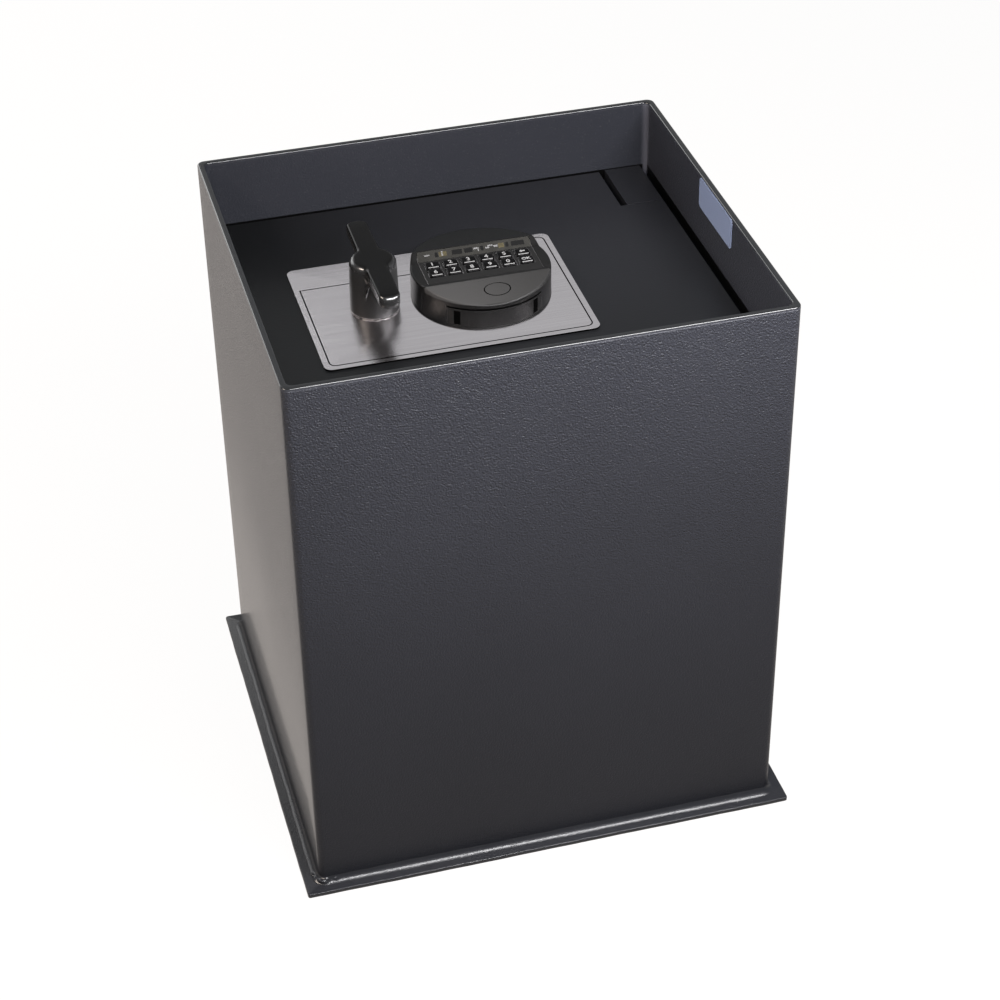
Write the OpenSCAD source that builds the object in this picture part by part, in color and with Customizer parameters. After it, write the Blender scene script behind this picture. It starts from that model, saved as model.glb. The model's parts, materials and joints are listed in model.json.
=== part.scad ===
// Floor safe: a welded box that is cast into a floor, with a lift-up door, a T handle
// that draws three locking bolts, and a round electronic keypad.
// Millimetres. The origin is the centre of the base plate's underside, +Z is up and
// the front of the safe faces -Y. The door is shut and its bolts are drawn back.

/* [Body] */
// Width over the side walls
body_w = 310; // [300:1:360]
// Depth over the front and back walls
body_d = 280; // [276:1:330]
// Height from the floor to the rim
total_h = 385; // [340:1:480]
// Thickness of the wall sheet
wall_t = 4; // [3:0.5:5]
// Outer radius of the upright corners
corner_r = 5; // [5:0.5:9]
// Thickness of the base plate
base_t = 3; // [2:0.5:6]
// Width of the flange that the base plate leaves round the body
flange_w = 10; // [8:1:25]
// Corner radius of the base plate
flange_r = 2; // [1:0.5:6]
// Leg of the fillet weld round the body's foot
weld_leg = 5; // [3:0.5:7]
// Depth of the door's top below the rim
recess_depth = 47; // [44:1:80]

/* [Door] */
// Thickness of the door plate
door_t = 12; // [12:0.5:15]
// Gap between the door and the left, front and back walls
door_gap = 1.5; // [1:0.25:2.5]
// Gap between the door and the right wall
hinge_gap = 5; // [4.5:0.25:7]
// Width of the ledges that the door rests on
ledge_w = 18; // [14:1:20]
// Thickness of the ledges
ledge_t = 6; // [5:0.5:8]
// Gap between the door and its ledges
ledge_gap = 0.3; // [0.2:0.1:0.5]
// Width of the ledge that shows beside the hinge blocks
hinge_ledge_margin = 3; // [1:0.5:4]

/* [Hinge] */
// Width of each hinge block
hinge_block_w = 25; // [23:1:28]
// Length of each hinge block along the wall
hinge_block_l = 50; // [42:1:60]
// Height of each hinge block
hinge_block_h = 26; // [24:1:30]
// Slot between the door and the side of each hinge block
block_slot = 4.5; // [3:0.5:6]
// Gap between the door and the end of each hinge block
block_end_gap = 0.5; // [0.3:0.1:1]
// Diameter of the hinge pins
pin_d = 7; // [6:0.5:8]
// Length of pin inside each block
pin_in_block = 30; // [20:1:36]
// Length of pin inside the door
pin_in_door = 19; // [12:1:24]
// Running clearance of the pins, on the radius
pin_clear = 0.05; // [0.02:0.01:0.1]

/* [Face plate] */
// Width of the brushed face plate
plate_w = 173; // [165:1:180]
// Depth of the face plate
plate_d = 121; // [110:1:130]
// Thickness of the face plate
plate_t = 1.2; // [0.8:0.1:1.5]
// Corner radius of the face plate
plate_r = 5; // [2:0.5:8]
// Distance of the face plate from the door's left edge
plate_inset = 35; // [30:0.5:40]
// Centre of the face plate from front to back
plate_y = 3; // [0:0.5:6]
// Inset of the engraved border
border_inset = 4; // [3:0.5:6]
// Width of the engraved line
line_w = 0.8; // [0.5:0.1:1.2]
// Depth of the engraved line
line_depth = 0.3; // [0.2:0.1:0.4]
// Radius of the border's round corners
border_r = 4; // [2:0.5:6]
// Depth of the plain band above the border, left of the keypad
header_d = 26; // [18:1:30]

/* [Handle] */
// Distance of the handle's centre from the face plate's left edge
handle_inset = 44.8; // [42:0.1:48]
// Centre of the handle from front to back
handle_y = 5; // [2:0.5:8]
// Height of the handle above the door
handle_h = 37; // [37:0.5:42]
// Radius of the hub at its foot
hub_foot_r = 15.5; // [14:0.5:17]
// Radius of the hub at its top
hub_top_r = 14.2; // [13:0.2:15]
// Chamfer of the hub's top edge
hub_edge = 2; // [1:0.5:3]
// Length of the cross bar
bar_l = 98.6; // [80:0.2:104]
// Chamfer under the ends of the cross bar
bar_edge = 1; // [0.5:0.5:2]
// Width of the cross bar at its ends
bar_end_w = 11.6; // [10:0.2:13]
// Width of the cross bar at the hub
bar_mid_w = 13.2; // [12:0.2:16]
// Thickness of the cross bar at its ends
bar_end_t = 8.5; // [7:0.5:9]
// Thickness of the cross bar at the hub
bar_mid_t = 10.5; // [9:0.5:11]
// Radius of the cross bar's corners
bar_r = 3; // [1.5:0.5:4]
// Diameter of the spindle
spindle_d = 12; // [10:0.5:13]
// Length of spindle inside the hub
spindle_in_hub = 22; // [16:1:26]
// Outer radius of the spindle's bush
bush_r = 9; // [8:0.5:10]
// Diameter of the grub screw that holds the hub on the spindle
grub_d = 5; // [4:0.5:6]
// Running gap under the hub and above the crank disc
thrust_gap = 0.3; // [0.2:0.1:0.4]

/* [Boltwork] */
// Radius at which the crank pin sits
crank_r = 12; // [11:0.5:13]
// Radius of the crank disc
crank_disc_r = 19; // [17:0.5:19.5]
// Thickness of the crank disc
crank_disc_t = 6; // [5:0.5:7]
// Diameter of the crank pin
crank_pin_d = 6; // [5:0.5:6.5]
// Clearance of the crank pin in its slot
crank_clear = 0.5; // [0.4:0.1:0.7]
// Diameter of the locking bolts
bolt_d = 16; // [14:0.5:17]
// Length of the locking bolts
bolt_l = 29; // [27:0.5:30]
// Distance of the outer bolts from the ends of the bolt carrier
bolt_inset = 15; // [13:1:22]
// Number of locking bolts
bolt_count = 3; // [3:2:3]
// Running clearance of the bolts in their guide, on the radius
bolt_clear = 0.05; // [0.02:0.01:0.1]
// Distance of the drawn bolts from the left ledge
bolt_home_gap = 4; // [3:0.5:5]
// Gap between the thrown bolts and the ledge above them
bolt_ledge_gap = 0.7; // [0.4:0.1:1]
// Distance of the bolt guide behind the tips of the drawn bolts
guide_setback = 3; // [2:0.5:4]
// Thickness of the bolt guide
guide_t = 5; // [4:0.5:5.5]
// Thickness of the bolt carrier's plate and flange
carrier_t = 4; // [3:0.5:4.5]
// Length of the bolt carrier's plate
carrier_w = 61; // [58:1:64]
// Gap between the bolt carrier and the standoffs beside it
carrier_side_gap = 4; // [2:0.5:8]
// Width of the carrier's arm beside the lock
arm_end = 62; // [58:1:66]
// Diameter of the studs that guide the carrier
stud_d = 8; // [6:0.5:9]
// Place of the guide studs from the middle
stud_y = 66; // [56:1:68]
// Distance of the guide studs behind the flange of the bolt carrier
stud_inset = 25; // [20:1:30]
// Clearance of the studs and of other sliding parts
slide_clear = 0.3; // [0.2:0.05:0.4]

/* [Lock] */
// Width of the lock case
lock_w = 60; // [56:1:64]
// Length of the lock case
lock_l = 80; // [76:1:90]
// Height of the lock case
lock_h = 25.5; // [25.5:0.5:27]
// Thickness of the lid on the lock case
lock_lid_t = 1.5; // [1:0.25:1.5]
// Distance of the lock's centre from the keypad's, across the door
lock_offset = 9.8; // [8:0.1:12]
// Centre of the lock from front to back
lock_y = -12; // [-14:0.5:-10]
// Width of the lock's bolt
lock_bolt_w = 18; // [16:0.5:20]
// Thickness of the lock's bolt
lock_bolt_t = 8; // [6:0.5:8]
// Length of the lock's bolt inside the case
lock_bolt_in = 40; // [30:1:44]
// Travel of the lock's bolt
lock_throw = 9; // [8:0.5:9]
// Radius of the lock's solenoid
solenoid_r = 6; // [5:0.5:7]
// Length of the lock's solenoid
solenoid_l = 28; // [24:1:32]
// Thickness of the hard plate between the door and the lock
hard_t = 3; // [2:0.5:4]
// Width by which the hard plate overlaps the lock
hard_margin = 17; // [12:1:18]

/* [Boltwork cover] */
// Thickness of the cover's sheet
cover_t = 2; // [1.5:0.5:2.5]
// Gap between the cover and the front and back ledges
cover_ledge_gap = 6; // [4:0.5:8]
// Gap between the cover and the ledge under the hinge blocks
cover_hinge_gap = 8; // [6:1:14]
// Gap between the cover and the bolt guide
cover_guide_gap = 1; // [0.5:0.5:3]
// Height of the cover's turned-up edges
cover_lip = 20; // [10:1:24]
// Diameter of the standoffs
standoff_d = 10; // [8:0.5:10]
// Distance of the standoffs from the front and back edges of the cover
standoff_inset = 8; // [7.5:0.5:9]
// Distance of the left pair of standoffs from the left edge of the cover
standoff_left = 15; // [12:1:18]
// Gap between the lock case and the cover
cover_gap = 4; // [3.5:0.5:6]
// Radius of the screw heads on the cover
screw_head_r = 4; // [3.5:0.5:5]
// Height of the screw heads on the cover
screw_head_h = 2.5; // [2:0.5:3]

/* [Keypad] */
// Distance between the centres of the handle and the keypad
keypad_offset = 67.9; // [64:0.1:70]
// Centre of the keypad from front to back
keypad_y = 3.4; // [2:0.2:5]
// Radius of the keypad
keypad_r = 44; // [42:0.5:44.5]
// Thickness of the keypad's round wall
keypad_wall = 2.5; // [2:0.25:2.5]
// Height of the keypad's front edge above the door
front_h = 18; // [17.5:0.5:20]
// Height of the front slope where it meets the keys
brow_h = 22; // [21.5:0.5:23]
// Height of the flat band that holds the keys
band_h = 21; // [20.5:0.5:21.5]
// Height of the ridge behind the display
ridge_h = 25.5; // [24.5:0.5:26]
// Height of the keypad's rear edge
rear_h = 22.7; // [21.5:0.1:24]
// Depth of the band in front of the middle
band_front = 14; // [13.5:0.5:15]
// Depth of the band behind the middle
band_rear = 13; // [12.5:0.5:14]
// Depth of the step down from the front slope to the band
brow_step = 3; // [2:0.5:4]
// Place of the ridge behind the middle
ridge_y = 19; // [18:0.5:20]
// Distance of the band's ends from the keypad's edge
insert_inset = 7; // [6:0.5:7.5]
// Thickness of the mounting base
mount_t = 1.2; // [1:0.1:1.3]
// Height of the battery drawer's top edge above the door
drawer_h = 14.2; // [14:0.1:14.6]
// Half width of the battery drawer's front
drawer_half = 30; // [28:0.5:32]
// Width of the slots in the battery drawer's front
slot_w = 2.8; // [2:0.2:3.4]
// Place of those slots from the middle
slot_x = 25; // [23:0.5:26]
// Height of those slots
slot_h = 9; // [6:0.5:10]
// Width of the grooves in the keypad's sides
groove_w = 0.9; // [0.6:0.1:1.2]
// Height of those grooves above the door
groove_bot = 3; // [2:0.5:4]
// Distance of the mounting screws from the keypad's edge
mount_screw_inset = 9; // [8:0.5:9.5]

/* [Keys] */
// Keys in one row
key_columns = 6; // [6:1:6]
// Rows of keys
key_rows = 2; // [2:1:2]
// Gap between the keys in a row
key_gap = 2.2; // [1.6:0.1:2.8]
// Distance of the outer keys from the ends of the band
key_margin = 3.3; // [2.5:0.1:4.5]
// Spacing of the rows of keys
key_pitch_y = 9.5; // [9.2:0.1:10]
// Depth of a key
key_d = 8.2; // [7.5:0.1:8.4]
// Height of a key above the band
key_proud = 0.8; // [0.6:0.1:1.2]
// Travel of a key
key_travel = 0.8; // [0.5:0.1:0.8]
// Place of the middle between the rows
key_mid_y = 2.4; // [0:0.2:3]
// Clearance round a key
key_clear = 0.3; // [0.2:0.05:0.35]

/* [Batteries and board] */
// Diameter of a battery cell
cell_d = 10.5; // [10:0.1:10.5]
// Length of a battery cell
cell_l = 44.5; // [40:0.5:44.5]
// Number of battery cells
cell_count = 3; // [3:1:3]
// Spacing of the battery cells
cell_pitch = 11; // [10.6:0.1:11.2]
// Thickness of the circuit board
board_t = 1.2; // [1:0.1:1.2]
// Distance of the circuit board's ends inside the ends of the band
board_inset = 2.5; // [2:0.5:4]
// Distance of the board's pillars from its ends
pillar_inset = 6.5; // [5:0.5:7]
// Distance of the battery cells from the front wall of the keypad
cell_inset = 4; // [3.5:0.1:4.5]
// Diameter of the cable from the keypad to the lock
cable_d = 4; // [3:0.5:5]
// Diameter of the hole that the cable goes through
cable_hole_d = 8; // [7:0.5:9]
// Place of the cable behind the keypad's middle
cable_rear = 16; // [14:0.5:17]

/* [Label] */
// Length of the blank label on the right wall
label_l = 60; // [50:1:70]
// Height of the blank label
label_h = 21; // [18:1:25]
// Thickness of the blank label
label_t = 0.3; // [0.2:0.1:0.5]
// Distance of the label's top edge below the rim
label_drop = 1.5; // [1:0.5:6]
// Corner radius of the label
label_r = 3; // [1:0.5:5]

/* [Hidden] */
$fn = 96;
// Overlap that lets a cut pass cleanly through a face
eps = 0.5;
// Straight steps in each round corner of the engraved border
border_steps = 8;
in_x = body_w / 2 - wall_t;
in_y = body_d / 2 - wall_t;
inner_r = max(corner_r - wall_t, 0.5);
door_top = total_h - recess_depth;
door_bot = door_top - door_t;
door_l = -in_x + door_gap;
door_r = in_x - hinge_gap;
door_y = in_y - door_gap;
hinge_x = door_r - hinge_block_w / 2;
hinge_z = door_top - door_t / 2;
block_l = door_r - hinge_block_w;
block_y = in_y - hinge_block_l;
notch_x = block_l - block_slot;
notch_y = block_y - block_end_gap;
block_bot = door_top - hinge_block_h;
// Clearance beyond the end of a pin or screw in its blind hole
blind_gap = 1;
ledge_top = door_bot - ledge_gap;
// The front and back ledges stop this far short of the notches in the door
ledge_end_gap = 2;
ledge_end = notch_x - ledge_end_gap;
hinge_ledge_l = block_l - hinge_ledge_margin;
// The ledges on the side walls stop short of the body's rounded inner corners
side_ledge_half = in_y - inner_r;
plate_top = door_top + plate_t;
handle_top = door_top + handle_h;
hub_bot = plate_top + thrust_gap;
spindle_r = spindle_d / 2;
plate_l = door_l + plate_inset;
plate_x = plate_l + plate_w / 2;
handle_x = plate_l + handle_inset;
keypad_x = handle_x + keypad_offset;

// Levels of the boltwork, worked down from the door
bolt_r = bolt_d / 2;
bolt_z = ledge_top - ledge_t - bolt_ledge_gap - bolt_r;
bolt_screw_head_r = 5;
bolt_screw_head_h = 4;
bolt_screw_r = 3;
// The plate passes this far under the heads of the bolts' screws
head_gap = 1;
carrier_top = bolt_z - bolt_screw_head_r - head_gap;
carrier_bot = carrier_top - carrier_t;
// The spindle ends this far above the bolt carrier, past the clip that holds it
spindle_gap = 1.5;
spindle_end = 1;
spindle_bot = carrier_top + spindle_gap;
clip_t = 1.2;
// The clip stays inside the path of the crank pin
clip_gap = 0.5;
clip_r = crank_r - crank_pin_d / 2 - clip_gap;
clip_bot = spindle_bot + spindle_end;
crank_bot = clip_bot + clip_t + thrust_gap;
crank_top = crank_bot + crank_disc_t;
bush_bot = crank_top + thrust_gap;
pin_reach = 1.5;

// The crank turns a quarter turn, even about the middle of the bolts' travel
turn = 90;
crank_x = crank_r * cos(turn / 2);
crank_y = crank_r * sin(turn / 2);
bolt_throw = 2 * crank_x;
bolt_tip = -in_x + ledge_w + bolt_home_gap;
bolt_root = bolt_tip + bolt_l;
guide_l = bolt_tip + guide_setback;
carrier_l = bolt_root;
carrier_r = bolt_root + carrier_w + carrier_t;
cover_half = in_y - ledge_w - cover_ledge_gap;
standoff_y = cover_half - standoff_inset;
carrier_half = standoff_y - standoff_d / 2 - carrier_side_gap;
bolt_pitch = 2 * (carrier_half - bolt_inset) / (bolt_count - 1);
// Steel left below the bolts' holes in the guide
guide_rim = 3;
guide_bot = bolt_z - bolt_r - guide_rim;
stud_x = carrier_l + stud_inset;
stud_head_h = 3;
stud_head_rim = 3;
stud_head_r = stud_d / 2 + stud_head_rim;
bolt_screw_in = 12;

// The lock's bolt, and the ramp on the carrier that pushes it in
lock_x = keypad_x + lock_offset;
lock_top = door_bot - hard_t;
lock_bot = lock_top - lock_h - lock_lid_t;
lock_end = lock_y + lock_l / 2;
lock_bolt_mid = (carrier_top + carrier_bot) / 2;
ramp = lock_throw / bolt_throw;
// How far the tip's low corner stands out of the lock when its bolt is pushed in
nose_out = 1.5;
nose_x = lock_x - lock_bolt_w / 2;
function nose_at(x) = lock_end + nose_out + ramp * (x - nose_x);
function ramp_at(x) = nose_at(x) + slide_clear;
// The carrier's arm reaches this far beyond the ramp at both ends
ramp_lead = 2;
arm_lead = 5;
arm_r = nose_x + lock_bolt_w + bolt_throw + arm_lead;
// Space between the lock's bolt and its solenoid
solenoid_gap = 2;
cover_top = lock_bot - cover_gap;
cover_l = guide_l + guide_t + cover_guide_gap;
cover_right = hinge_ledge_l - cover_hinge_gap;
standoff_ends = [cover_l + standoff_left, cover_right - standoff_d];
standoff_x = [standoff_ends[0], (standoff_ends[0] + standoff_ends[1]) / 2, standoff_ends[1]];
cover_screw_r = 2;
cover_screw_l = 10;
lock_screw_r = 3;
lock_screw_inset = 7;
lock_screw_head_r = 5;
lock_screw_head_h = 3;
lock_screw_in = 6;

insert_half = keypad_r - insert_inset;
key_w = (2 * (insert_half - key_margin) - (key_columns - 1) * key_gap) / key_columns;
key_pitch_x = key_w + key_gap;

// Levels inside the keypad, above the door
frame_t = 2.2;
lip_t = 1.2;
// Width of the lip that the band's insert rests on
lip_in = 1;
shell_t = frame_t + lip_t;
frame_bot = band_h - frame_t;
tray_bot = plate_t + mount_t + slide_clear;
tray_floor_t = 0.6;
tray_wall = 1.2;
cell_z = tray_bot + tray_floor_t + cell_d / 2;
// Free height over the cells, and over the walls of their tray
cell_top_gap = 0.4;
tray_top_gap = 0.8;
board_bot = cell_z + cell_d / 2 + cell_top_gap;
board_top = board_bot + board_t;
mat_t = 2;
mat_top = board_top + mat_t;
// A key's cap stops just above the mat when it is pressed right down
cap_gap = 0.2;
cap_bot = mat_top + key_travel + cap_gap;
stem_bot = mat_top - key_travel;
stem_w = 6;
stem_d = 5;
well_clear = 0.5;
cell_front = keypad_wall - keypad_r + cell_inset;
// Clearances of the cells at the sides and the end of their tray
cell_side_gap = 0.3;
cell_end_gap = 0.5;
// The tray starts this far in front of the cells, where it meets the drawer's front
tray_lead = 2;
tray_half = cell_pitch * (cell_count - 1) / 2 + cell_d / 2 + cell_side_gap + tray_wall;
tray_front = cell_front - tray_lead;
tray_rear = cell_front + cell_l + cell_end_gap + tray_wall;
mat_half = insert_half - key_margin;
mat_edge = 1;
mat_y = key_pitch_y / 2 + key_d / 2 + mat_edge;
board_half = insert_half - board_inset;
board_front = -band_front;
// Board left behind the cable
board_edge = 5;
board_rear = cable_rear + board_edge;
pillar_x = board_half - pillar_inset;
pillar_r = 3;
pillar_y = [-8, 12];
mount_screw_x = keypad_r - mount_screw_inset;
mount_screw_r = 2;
mount_screw_head_r = 3.5;
mount_screw_head_h = 2;
mount_screw_in_door = 8;
led_x = [-20, 18];
led_r = 1.5;
window_t = 1.4;
// Housing left between the window and the edges of its slope
window_edge = 0.3;
// The display's slope runs from the band's rear edge up to the ridge
slope = [ridge_y - band_rear, ridge_h - band_h] / norm([ridge_y - band_rear, ridge_h - band_h]);
slope_in = [slope[1], -slope[0]];
groove_angles = [-98, -71, 71, 98];
groove_depth = 0.5;

steel = "dimgray";
coat = [0.17, 0.17, 0.19];
black = [0.1, 0.1, 0.11];
bright = [0.72, 0.72, 0.74];

KEYS = ["1", "2", "3", "4", "5", "up", "6", "7", "8", "9", "0", "ok"];

// A rectangle with round corners, centred
module round_rect(w, d, r) {
    square([w - 2 * r, d], center = true);
    square([w, d - 2 * r], center = true);
    for (x = [-1, 1], y = [-1, 1])
        translate([x * (w / 2 - r), y * (d / 2 - r)])
            circle(r);
}

// A box between two corners
module box(low, high) {
    translate(low)
        cube(high - low);
}

// A cylinder along +X from a point
module along_x(from, r, h) {
    translate(from)
        rotate([0, 90, 0])
            cylinder(r = r, h = h);
}

// A cylinder along +Y from a point
module along_y(from, r, h) {
    translate(from)
        rotate([-90, 0, 0])
            cylinder(r = r, h = h);
}

// A shape drawn in the YZ plane, carried along X between two places
module side_profile(points, x_from, x_to) {
    translate([x_from, 0, 0])
        rotate([90, 0, 90])
            linear_extrude(x_to - x_from)
                polygon(points);
}

// A straight slot with round ends along X
module slot_x_2d(length, r) {
    translate([0, -r])
        square([length, 2 * r]);
    circle(r);
    translate([length, 0])
        circle(r);
}

module body_shell() {
    color(coat)
        translate([0, 0, base_t])
            linear_extrude(total_h - base_t)
                difference() {
                    round_rect(body_w, body_d, corner_r);
                    round_rect(2 * in_x, 2 * in_y, inner_r);
                }
}

module base_plate() {
    color(coat)
        linear_extrude(base_t)
            round_rect(body_w + 2 * flange_w, body_d + 2 * flange_w, flange_r);
}

// One straight run of the fillet weld, along +X from the origin
module weld_run(length) {
    rotate([90, 0, 90])
        linear_extrude(length)
            polygon([[0, 0], [-weld_leg, 0], [0, weld_leg]]);
}

module base_weld() {
    corner_x = body_w / 2 - corner_r;
    corner_y = body_d / 2 - corner_r;
    color(coat)
        translate([0, 0, base_t]) {
            for (turned = [0, 180])
                rotate(turned) {
                    translate([-corner_x, -body_d / 2, 0])
                        weld_run(2 * corner_x);
                    translate([body_w / 2, -corner_y, 0])
                        rotate(90)
                            weld_run(2 * corner_y);
                }
            for (quarter = [0:3]) {
                x = quarter == 0 || quarter == 3 ? corner_x : -corner_x;
                y = quarter < 2 ? corner_y : -corner_y;
                translate([x, y, 0])
                    rotate(90 * quarter)
                        rotate_extrude(angle = 90)
                            polygon([
                                [corner_r, 0], [corner_r + weld_leg, 0], [corner_r, weld_leg]
                            ]);
            }
        }
}

module ledge_left() {
    color(coat)
        box([-in_x, -side_ledge_half, ledge_top - ledge_t], [-in_x + ledge_w, side_ledge_half, ledge_top]);
}

// The ledge along the back wall; mirrored, it is the one along the front wall
module long_ledge() {
    color(coat)
        box([-in_x + ledge_w, in_y - ledge_w, ledge_top - ledge_t], [ledge_end, in_y, ledge_top]);
}

module ledge_front() {
    mirror([0, 1, 0])
        long_ledge();
}

module ledge_back() {
    long_ledge();
}

module hinge_ledge() {
    color(coat)
        box([hinge_ledge_l, -side_ledge_half, block_bot - ledge_t], [in_x, side_ledge_half, block_bot]);
}

// The block at the back; mirrored, it is the one at the front
module hinge_block() {
    color(coat)
        difference() {
            box([block_l, block_y, block_bot], [door_r, in_y, door_top]);
            along_y([hinge_x, block_y - eps, hinge_z], pin_d / 2, pin_in_block + eps);
        }
}

module hinge_block_rear() {
    hinge_block();
}

module hinge_block_front() {
    mirror([0, 1, 0])
        hinge_block();
}

module hinge_pins() {
    pin_l = pin_in_block + block_end_gap + pin_in_door;
    color(bright)
        for (side = [0, 1])
            mirror([0, side, 0])
                along_y([hinge_x, notch_y - pin_in_door, hinge_z], pin_d / 2, pin_l);
}

module label_plate() {
    color("lightsteelblue")
        translate([in_x - label_t, 0, total_h - label_drop - label_h / 2])
            rotate([90, 0, 90])
                linear_extrude(label_t)
                    round_rect(label_l, label_h, label_r);
}

module door_plate() {
    outline = [
        [door_l, -door_y], [notch_x, -door_y], [notch_x, -notch_y], [door_r, -notch_y],
        [door_r, notch_y], [notch_x, notch_y], [notch_x, door_y], [door_l, door_y]
    ];
    bore_l = pin_in_door + blind_gap;
    color(coat)
        difference() {
            translate([0, 0, door_bot])
                linear_extrude(door_t)
                    polygon(outline);
            translate([handle_x, handle_y, door_bot - eps])
                cylinder(r = bush_r, h = door_t + 2 * eps);
            translate([keypad_x, keypad_y + cable_rear, door_bot - eps])
                cylinder(d = cable_hole_d, h = door_t + 2 * eps);
            for (side = [-1, 1])
                translate([keypad_x + side * mount_screw_x, keypad_y, door_top - mount_screw_in_door])
                    cylinder(r = mount_screw_r, h = mount_screw_in_door + eps);
            for (side = [0, 1])
                mirror([0, side, 0])
                    along_y([hinge_x, notch_y - bore_l, hinge_z], pin_d / 2 + pin_clear, bore_l + eps);
        }
}

// Points of a quarter circle about a centre, from one angle on
function corner(centre, r, from) = [
    for (step = [0:border_steps]) let (a = from + 90 * step / border_steps) centre + r * [cos(a), sin(a)]
];

// Outline of the engraved border, drawn in by a distance: its back edge steps down
// behind the keypad to leave a plain band at the left
module border(inset) {
    left = plate_l + border_inset + inset;
    right = plate_l + plate_w - border_inset - inset;
    front = plate_y - plate_d / 2 + border_inset + inset;
    back = plate_y + plate_d / 2 - border_inset - inset;
    step = plate_y + plate_d / 2 - header_d - inset;
    r = border_r - inset;
    polygon(concat(
        corner([left + r, front + r], r, 180), corner([right - r, front + r], r, 270),
        corner([right - r, back - r], r, 0),
        [[keypad_x + inset, back], [keypad_x + inset, step], [left, step]]
    ));
}

module face_plate() {
    color(bright)
        difference() {
            translate([plate_x, plate_y, door_top])
                linear_extrude(plate_t)
                    round_rect(plate_w, plate_d, plate_r);
            translate([0, 0, plate_top - line_depth])
                linear_extrude(line_depth + eps)
                    difference() {
                        border(0);
                        border(line_w);
                    }
            translate([handle_x, handle_y, door_top - eps])
                cylinder(r = bush_r, h = plate_t + 2 * eps);
            translate([keypad_x, keypad_y + cable_rear, door_top - eps])
                cylinder(d = cable_hole_d, h = plate_t + 2 * eps);
            for (side = [-1, 1])
                translate([keypad_x + side * mount_screw_x, keypad_y, door_top - eps])
                    cylinder(r = mount_screw_r, h = plate_t + 2 * eps);
        }
}

module handle_bush() {
    color("darkgoldenrod")
        translate([handle_x, handle_y, bush_bot])
            difference() {
                cylinder(r = bush_r, h = plate_top - bush_bot);
                translate([0, 0, -eps])
                    cylinder(r = spindle_r + bolt_clear, h = plate_top - bush_bot + 2 * eps);
            }
}

// Places of the locking bolts from front to back
function bolt_places() = [for (i = [0:bolt_count - 1]) (i - (bolt_count - 1) / 2) * bolt_pitch];

module bolt_guide() {
    color(steel)
        difference() {
            box([guide_l, -cover_half, guide_bot], [guide_l + guide_t, cover_half, door_bot]);
            for (y = bolt_places())
                along_x([guide_l - eps, y, bolt_z], bolt_r + bolt_clear, guide_t + 2 * eps);
        }
}

module guide_studs() {
    color(bright)
        for (side = [-1, 1])
            translate([stud_x, side * stud_y, 0]) {
                translate([0, 0, carrier_bot - slide_clear])
                    cylinder(d = stud_d, h = door_bot - carrier_bot + slide_clear);
                translate([0, 0, carrier_bot - slide_clear - stud_head_h])
                    cylinder(r = stud_head_r, h = stud_head_h);
            }
}

// Runs its children at each standoff
module at_standoffs() {
    for (x = standoff_x, side = [-1, 1])
        translate([x, side * standoff_y, cover_top])
            children();
}

module standoffs() {
    color(bright)
        at_standoffs()
            difference() {
                cylinder(d = standoff_d, h = door_bot - cover_top);
                translate([0, 0, -eps])
                    cylinder(r = cover_screw_r, h = cover_screw_l + blind_gap + eps);
            }
}

module boltwork_cover() {
    inner_half = cover_half - cover_t;
    lip_top = cover_top + cover_lip;
    color(steel)
        difference() {
            box([cover_l, -cover_half, cover_top - cover_t], [cover_right, cover_half, lip_top]);
            box([cover_l - eps, -inner_half, cover_top], [cover_right - cover_t, inner_half, lip_top + eps]);
            at_standoffs()
                translate([0, 0, -cover_t - eps])
                    cylinder(r = cover_screw_r, h = cover_t + 2 * eps);
        }
}

module cover_screws() {
    color(bright)
        at_standoffs() {
            translate([0, 0, -cover_t])
                cylinder(r = cover_screw_r, h = cover_t + cover_screw_l);
            translate([0, 0, -cover_t - screw_head_h])
                cylinder(r = screw_head_r, h = screw_head_h);
        }
}

module hard_plate() {
    color(steel)
        difference() {
            translate([lock_x, lock_y, lock_top])
                linear_extrude(hard_t)
                    square([lock_w + 2 * hard_margin, lock_l + 2 * hard_margin], center = true);
            translate([keypad_x, keypad_y + cable_rear, lock_top - eps])
                cylinder(d = cable_hole_d, h = hard_t + 2 * eps);
        }
}

// Runs its children at the four corners of the lock
module at_lock_screws() {
    for (x = [-1, 1], y = [-1, 1])
        translate([
            lock_x + x * (lock_w / 2 - lock_screw_inset),
            lock_y + y * (lock_l / 2 - lock_screw_inset),
            lock_bot
        ])
            children();
}

module lock_case() {
    case_bot = lock_bot + lock_lid_t;
    channel_w = lock_bolt_w / 2 + slide_clear;
    channel_h = lock_bolt_t / 2 + slide_clear;
    channel_rear = lock_end - lock_bolt_in - blind_gap;
    pocket_x = nose_x - solenoid_gap - 2 * solenoid_r;
    pocket_y = lock_y - solenoid_l / 2;
    color("silver")
        difference() {
            box(
                [lock_x - lock_w / 2, lock_y - lock_l / 2, case_bot],
                [lock_x + lock_w / 2, lock_end, lock_top]
            );
            box(
                [lock_x - channel_w, channel_rear, lock_bolt_mid - channel_h],
                [lock_x + channel_w, lock_end + eps, lock_bolt_mid + channel_h]
            );
            box(
                [pocket_x, pocket_y, case_bot - eps],
                [pocket_x + 2 * solenoid_r, pocket_y + solenoid_l, case_bot + 2 * solenoid_r]
            );
            at_lock_screws()
                cylinder(r = lock_screw_r, h = lock_lid_t + lock_screw_in + blind_gap);
        }
}

module lock_lid() {
    color("silver")
        difference() {
            box(
                [lock_x - lock_w / 2, lock_y - lock_l / 2, lock_bot],
                [lock_x + lock_w / 2, lock_end, lock_bot + lock_lid_t]
            );
            at_lock_screws()
                translate([0, 0, -eps])
                    cylinder(r = lock_screw_r, h = lock_lid_t + 2 * eps);
        }
}

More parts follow.
